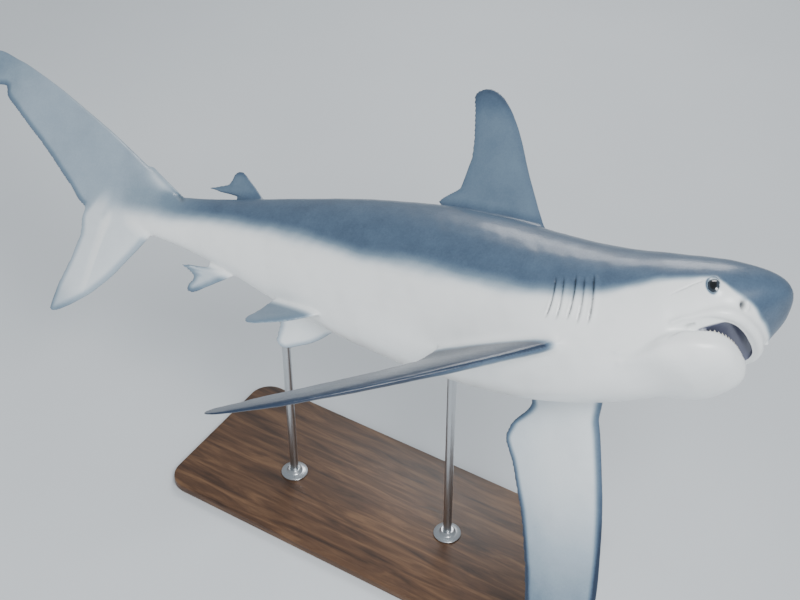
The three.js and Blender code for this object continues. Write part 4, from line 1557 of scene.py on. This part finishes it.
class Eye:
    """One glass eye behind the lids."""

    rings, segments = 44, 72

    def __init__(self, side: int) -> None:
        """Chooses the side: 1 is the animal's left, -1 its right."""
        self.side = side
        self.name = "eye_left" if side > 0 else "eye_right"

    def build(self, finish: bpy.types.Material) -> bpy.types.Object:
        """Makes the ball with its pole looking out."""
        forward, up, out = EYES.axes(self.side)
        local = unit_ball(self.rings, self.segments, 0.03) * EYES.radius
        straight = EYES.centre(self.side) + local @ np.stack([forward, up, out])
        held = np.full(len(straight), EYES.station)
        room = SPINE.in_room(SPINE.bent(straight, held))
        faces = ring_faces(self.rings, self.segments)
        if self.side > 0:
            faces = [face[::-1] for face in faces]
        piece = make_piece(self.name, room, faces, finish)
        # The back of the ball is moved out of the pupil's reach, so that it takes the rim's colour.
        gaze = local / MM * (1.0, 1.0, 0.0) + (local[:, 2:] < 0) * 40.0 * np.array([1.0, 0.0, 0.0])
        store(piece, "gaze", gaze)
        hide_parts(self.name)
        return piece


@dataclass
class LowerTeeth:
    """The erect lower teeth, in one row along the rim of the jaw."""

    per_side: int = 11
    reach: float = 0.095            # metres of rim on each side
    inset: float = 0.0046           # from the jaw's outer line to the row
    rows: tuple = (                 # height, half breadth, half thickness, lean back, in mm
        (-3.0, 3.0, 2.0, 0.0), (0.0, 2.9, 1.9, 0.0), (1.4, 2.1, 1.6, 0.1), (3.2, 1.25, 1.15, 0.3),
        (5.0, 0.75, 0.75, 0.7), (6.4, 0.22, 0.25, 1.1),
    )
    sides: int = 10
    rim_end: float = 0.084          # station

    def rim(self) -> tuple[Array, Array]:
        """Points along the jaw's rim, and how far each is from its middle."""
        station = np.linspace(JAW.front + 1e-5, self.rim_end, 400)
        half = JAW.section(station).half
        flat = np.column_stack([-station * LENGTH, half])
        flat = np.concatenate([flat[:0:-1] * (1, -1), flat])
        ahead = np.gradient(flat, axis=0)
        ahead /= np.linalg.norm(ahead, axis=1)[:, None]
        inward = np.column_stack([-ahead[:, 1], ahead[:, 0]])
        inward *= np.sign(((MOUTH_MIDDLE - flat) * inward).sum(1))[:, None]
        moved = flat + inward * self.inset
        kept = np.concatenate([[True], np.linalg.norm(np.diff(moved, axis=0), axis=1) > 1e-5])
        moved = moved[kept]
        run = np.concatenate([[0.0], np.cumsum(np.linalg.norm(np.diff(moved, axis=0), axis=1))])
        centre = np.interp(0.0, moved[:, 1], run)
        return moved, run - centre

    def build(self, finish: bpy.types.Material) -> bpy.types.Object:
        """Makes the whole row as one piece."""
        rim, run = self.rim()
        rng = np.random.default_rng(3)
        points, faces, heights = [], [], []
        for i in range(-self.per_side, self.per_side + 1):
            at = self.reach * i / self.per_side
            foot = np.array([np.interp(at, run, rim[:, k]) for k in (0, 1)])
            near = np.array([np.interp(at + 0.002, run, rim[:, k]) for k in (0, 1)])
            along = unit((*(near - foot), 0.0))
            level = float(JAW.section(np.float64(-foot[0] / LENGTH)).top) + 0.004
            base = np.array([*foot, level])
            for _ in range(8):
                base[2] -= float(FORM.distance(base[None])[0]) * 0.9
            size = (1.0 - 0.30 * (abs(i) / self.per_side) ** 2) * rng.uniform(0.90, 1.10)
            back = np.cross(along, (0.0, 0.0, 1.0))
            back *= np.sign(back @ (np.array([*MOUTH_MIDDLE, base[2]]) - base))
            lean = rng.uniform(-0.35, 0.35)
            first = len(points)
            for height, wide, deep, tilt in self.rows:
                share = max(height, 0.0) / self.rows[-1][0]
                for k in range(self.sides):
                    angle = 2.0 * math.pi * k / self.sides
                    points.append(
                        base
                        + along * (wide * math.cos(angle) * size + lean * height * 0.3) * MM
                        + back * (deep * math.sin(angle) * size + tilt) * MM
                        + np.array([0.0, 0.0, height * size * MM])
                    )
                    heights.append(share)
            faces += ring_faces(len(self.rows), self.sides, first)
        room = SPINE.in_room(SPINE.bent(np.array(points)))
        piece = make_piece("lower_teeth", room, faces, finish)
        store(piece, "height", np.array(heights))
        return piece


@dataclass
class Tongue:
    """The flat pad on the floor of the mouth."""

    centre: tuple[float, float, float] = (0.0800, 0.0, -0.0548)     # station, left, up
    size: tuple[float, float, float] = (0.044, 0.044, 0.009)        # half sizes, metres
    bluntness: tuple[float, float, float] = (0.8, 0.9, 1.0)         # 1 is an ellipsoid's
    furrow: float = 0.0016                                          # depth, metres
    rings: int = 24
    segments: int = 48

    def build(self, finish: bpy.types.Material) -> bpy.types.Object:
        """Makes the pad, blunt in front and furrowed down its middle."""
        ball = unit_ball(self.rings, self.segments, 0.06)[:, (2, 0, 1)]
        ball = np.sign(ball) * np.abs(ball) ** self.bluntness
        shape = ball * self.size
        shape[:, 2] -= self.furrow * bell(shape[:, 1], 0.0, 0.005) * (ball[:, 2] > 0)
        straight = shape + np.array([-self.centre[0], self.centre[1], self.centre[2]]) * LENGTH
        room = SPINE.in_room(SPINE.bent(straight))
        piece = make_piece("tongue", room, ring_faces(self.rings, self.segments), finish)
        return piece


class Stand:
    """The board and the two rods with their collars."""

    segments = 64
    bore = 0.0113           # radius of the collars' holes, metres
    corner = 0.060          # radius of the board's corners, metres
    soft = 0.003            # how far the board's edges are softened, metres

    def turned(
        self, name: str, profile: Sequence[tuple[float, float]], finish: bpy.types.Material
    ) -> bpy.types.Object:
        """Turns a profile of radius and height about the middle of a node.

        Args:
            name: The CAD node it stands for.
            profile: Radius and height pairs, metres.
            finish: Its material.

        Returns:
            The finished piece.
        """
        low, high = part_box(name)
        x, y = (low.x + high.x) / 2, (low.y + high.y) / 2
        angle = np.linspace(0.0, 2.0 * math.pi, self.segments, endpoint=False)
        circle = list(zip(np.cos(angle), np.sin(angle)))
        points = np.array([(x + r * c, y + r * s, z) for r, z in profile for c, s in circle])
        faces = ring_faces(len(profile), self.segments)
        piece = make_piece(name.replace("stand_", "display_"), points, faces, finish)
        self.crisp(piece)
        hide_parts(name)
        return piece

    @staticmethod
    def crisp(piece: bpy.types.Object) -> None:
        """Keeps edges sharper than 35 degrees sharp."""
        piece.data.set_sharp_from_angle(angle=math.radians(35.0))

    def rod(self, name: str, finish: bpy.types.Material) -> bpy.types.Object:
        """One round rod with a chamfered top."""
        low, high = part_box(name)
        radius = (high.x - low.x) / 2
        c = 1.5 * MM
        profile = [(1e-4, low.z), (radius, low.z), (radius, high.z - c), (radius - c, high.z), (1e-4, high.z)]
        return self.turned(name, profile, finish)

    def collar(self, name: str, finish: bpy.types.Material) -> bpy.types.Object:
        """One turned collar that steadies a rod on the board."""
        low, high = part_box(name)
        outer, inner, z = (high.x - low.x) / 2, self.bore, low.z
        profile = [
            (inner, z), (outer - 0.0006, z), (outer, z + 0.0006),
            (outer, z + 0.0034), (outer - 0.0006, z + 0.0040),
            (outer * 0.66, z + 0.0066), (outer * 0.60, z + 0.0074), (outer * 0.55, z + 0.0090),
            (inner + 0.0054, high.z - 0.0008), (inner + 0.0046, high.z),
            (inner + 0.0003, high.z), (inner, high.z - 0.0003),
        ]
        return self.turned(name, profile, finish)

    def board(self, finish: bpy.types.Material) -> bpy.types.Object:
        """The rounded board with softened edges."""
        low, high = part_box("stand_base")
        corner, soft = self.corner, self.soft
        half = np.array([(high.x - low.x) / 2, (high.y - low.y) / 2])
        points, size = [], 0
        rings = [(soft, low.z), (soft * 0.3, low.z + soft * 0.3), (0.0, low.z + soft)]
        rings += [(0.0, high.z - soft), (soft * 0.3, high.z - soft * 0.3), (soft, high.z)]
        for inset, level in rings:
            ring = []
            for quarter in range(4):
                centre = (half - corner) * ((1, 1), (-1, 1), (-1, -1), (1, -1))[quarter]
                for step in range(17):
                    angle = math.pi / 2 * (quarter + step / 16)
                    reach = corner - inset
                    across, away = reach * math.cos(angle), reach * math.sin(angle)
                    ring.append((centre[0] + across, centre[1] + away, level))
            size = len(ring)
            points += ring
        piece = make_piece("display_board", np.array(points), ring_faces(len(rings), size), finish)
        self.crisp(piece)
        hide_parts("stand_base")
        return piece

    def build(self, wood: bpy.types.Material, steel: bpy.types.Material) -> list[bpy.types.Object]:
        """Makes every piece of the stand."""
        made = [self.board(wood)]
        for place in ("front", "rear"):
            made.append(self.rod(f"stand_rod_{place}", steel))
            made.append(self.collar(f"stand_collar_{place}", steel))
        return made


# ---- The room ----------------------------------------------------------------------------


@dataclass
class Studio:
    """Floor, soft lights and the camera."""

    azimuth: float = 31.816             # degrees round z
    elevation: float = 39.669           # degrees that the camera looks down
    field_of_view: float = 31.575       # degrees across
    place: tuple[float, float, float] = (1.407, -2.163, 2.873)      # metres
    sky: float = 0.55
    span: float = 60.0                  # half the floor's side, metres
    # name, place, aim, size in metres, power in watts
    lights: tuple = (
        ("key", (2.6, -1.6, 3.6), (0.3, 0.0, 0.9), 1.8, 150.0),
        ("fill", (-2.4, -3.2, 2.6), (0.0, 0.0, 0.8), 2.6, 66.0),
        ("back", (-1.0, 3.4, 3.2), (0.0, 0.0, 0.9), 2.2, 80.0),
        ("low", (1.8, -3.4, 0.7), (0.3, 0.0, 0.8), 2.0, 22.0),
    )

    def camera(self) -> None:
        """Makes the camera and gives it to the scene."""
        data = bpy.data.cameras.new("camera")
        data.sensor_width = 36.0
        data.lens = data.sensor_width / 2.0 / math.tan(math.radians(self.field_of_view / 2.0))
        data.clip_start, data.clip_end = 0.05, 100.0
        camera = bpy.data.objects.new("camera", data)
        camera.location = self.place
        camera.rotation_euler = (math.radians(90.0 - self.elevation), 0.0, math.radians(self.azimuth))
        bpy.context.scene.collection.objects.link(camera)
        bpy.context.scene.camera = camera

    def lamps(self) -> None:
        """Makes the soft lights and an even sky."""
        for name, place, aim, size, power in self.lights:
            data = bpy.data.lights.new(name, "AREA")
            data.shape, data.size, data.energy = "DISK", size, power
            lamp = bpy.data.objects.new(name, data)
            lamp.location = place
            lamp.visible_glossy = name in ("key", "back")
            lamp.rotation_euler = (Vector(aim) - Vector(place)).to_track_quat("-Z", "Y").to_euler()
            bpy.context.scene.collection.objects.link(lamp)
        world = bpy.data.worlds.new("even_sky")
        world.use_nodes = True
        sky = world.node_tree.nodes["Background"]
        sky.inputs["Color"].default_value = linear("#dfe7ee")
        sky.inputs["Strength"].default_value = self.sky
        bpy.context.scene.world = world

    def floor(self, finish: bpy.types.Material) -> None:
        """Makes the floor, which isn't part of the object."""
        span = self.span
        corners = np.array([(-span, -span, 0.0), (span, -span, 0.0), (span, span, 0.0), (-span, span, 0.0)])
        make_piece("floor", corners, [(0, 1, 2, 3)], finish)


FLESH = (
    "head", "lower_jaw", "trunk_front", "trunk_middle", "trunk_rear", "tail_stock",
    *(fin.name for fin in FINS),
)


def main() -> None:
    """Builds the shark and its stand, piece by piece."""
    logging.basicConfig(level=logging.INFO)
    studio = Studio()
    studio.camera()
    studio.lamps()
    studio.floor(FloorFinish().build())
    skin = SharkSkin().build(HideFinish().build())
    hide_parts(*FLESH)
    pieces = [skin]
    glass = EyeFinish().build()
    pieces += [Eye(side).build(glass) for side in (-1, 1)]
    pieces.append(LowerTeeth().build(ToothFinish().build()))
    pieces.append(Tongue().build(LiningFinish().build()))
    pieces += Stand().build(WalnutFinish().build(), SteelFinish().build())
    for piece in pieces:
        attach(piece, "root")
        log.info("%s: %d faces", piece.name, len(piece.data.polygons))


if __name__ == "__main__":
    main()
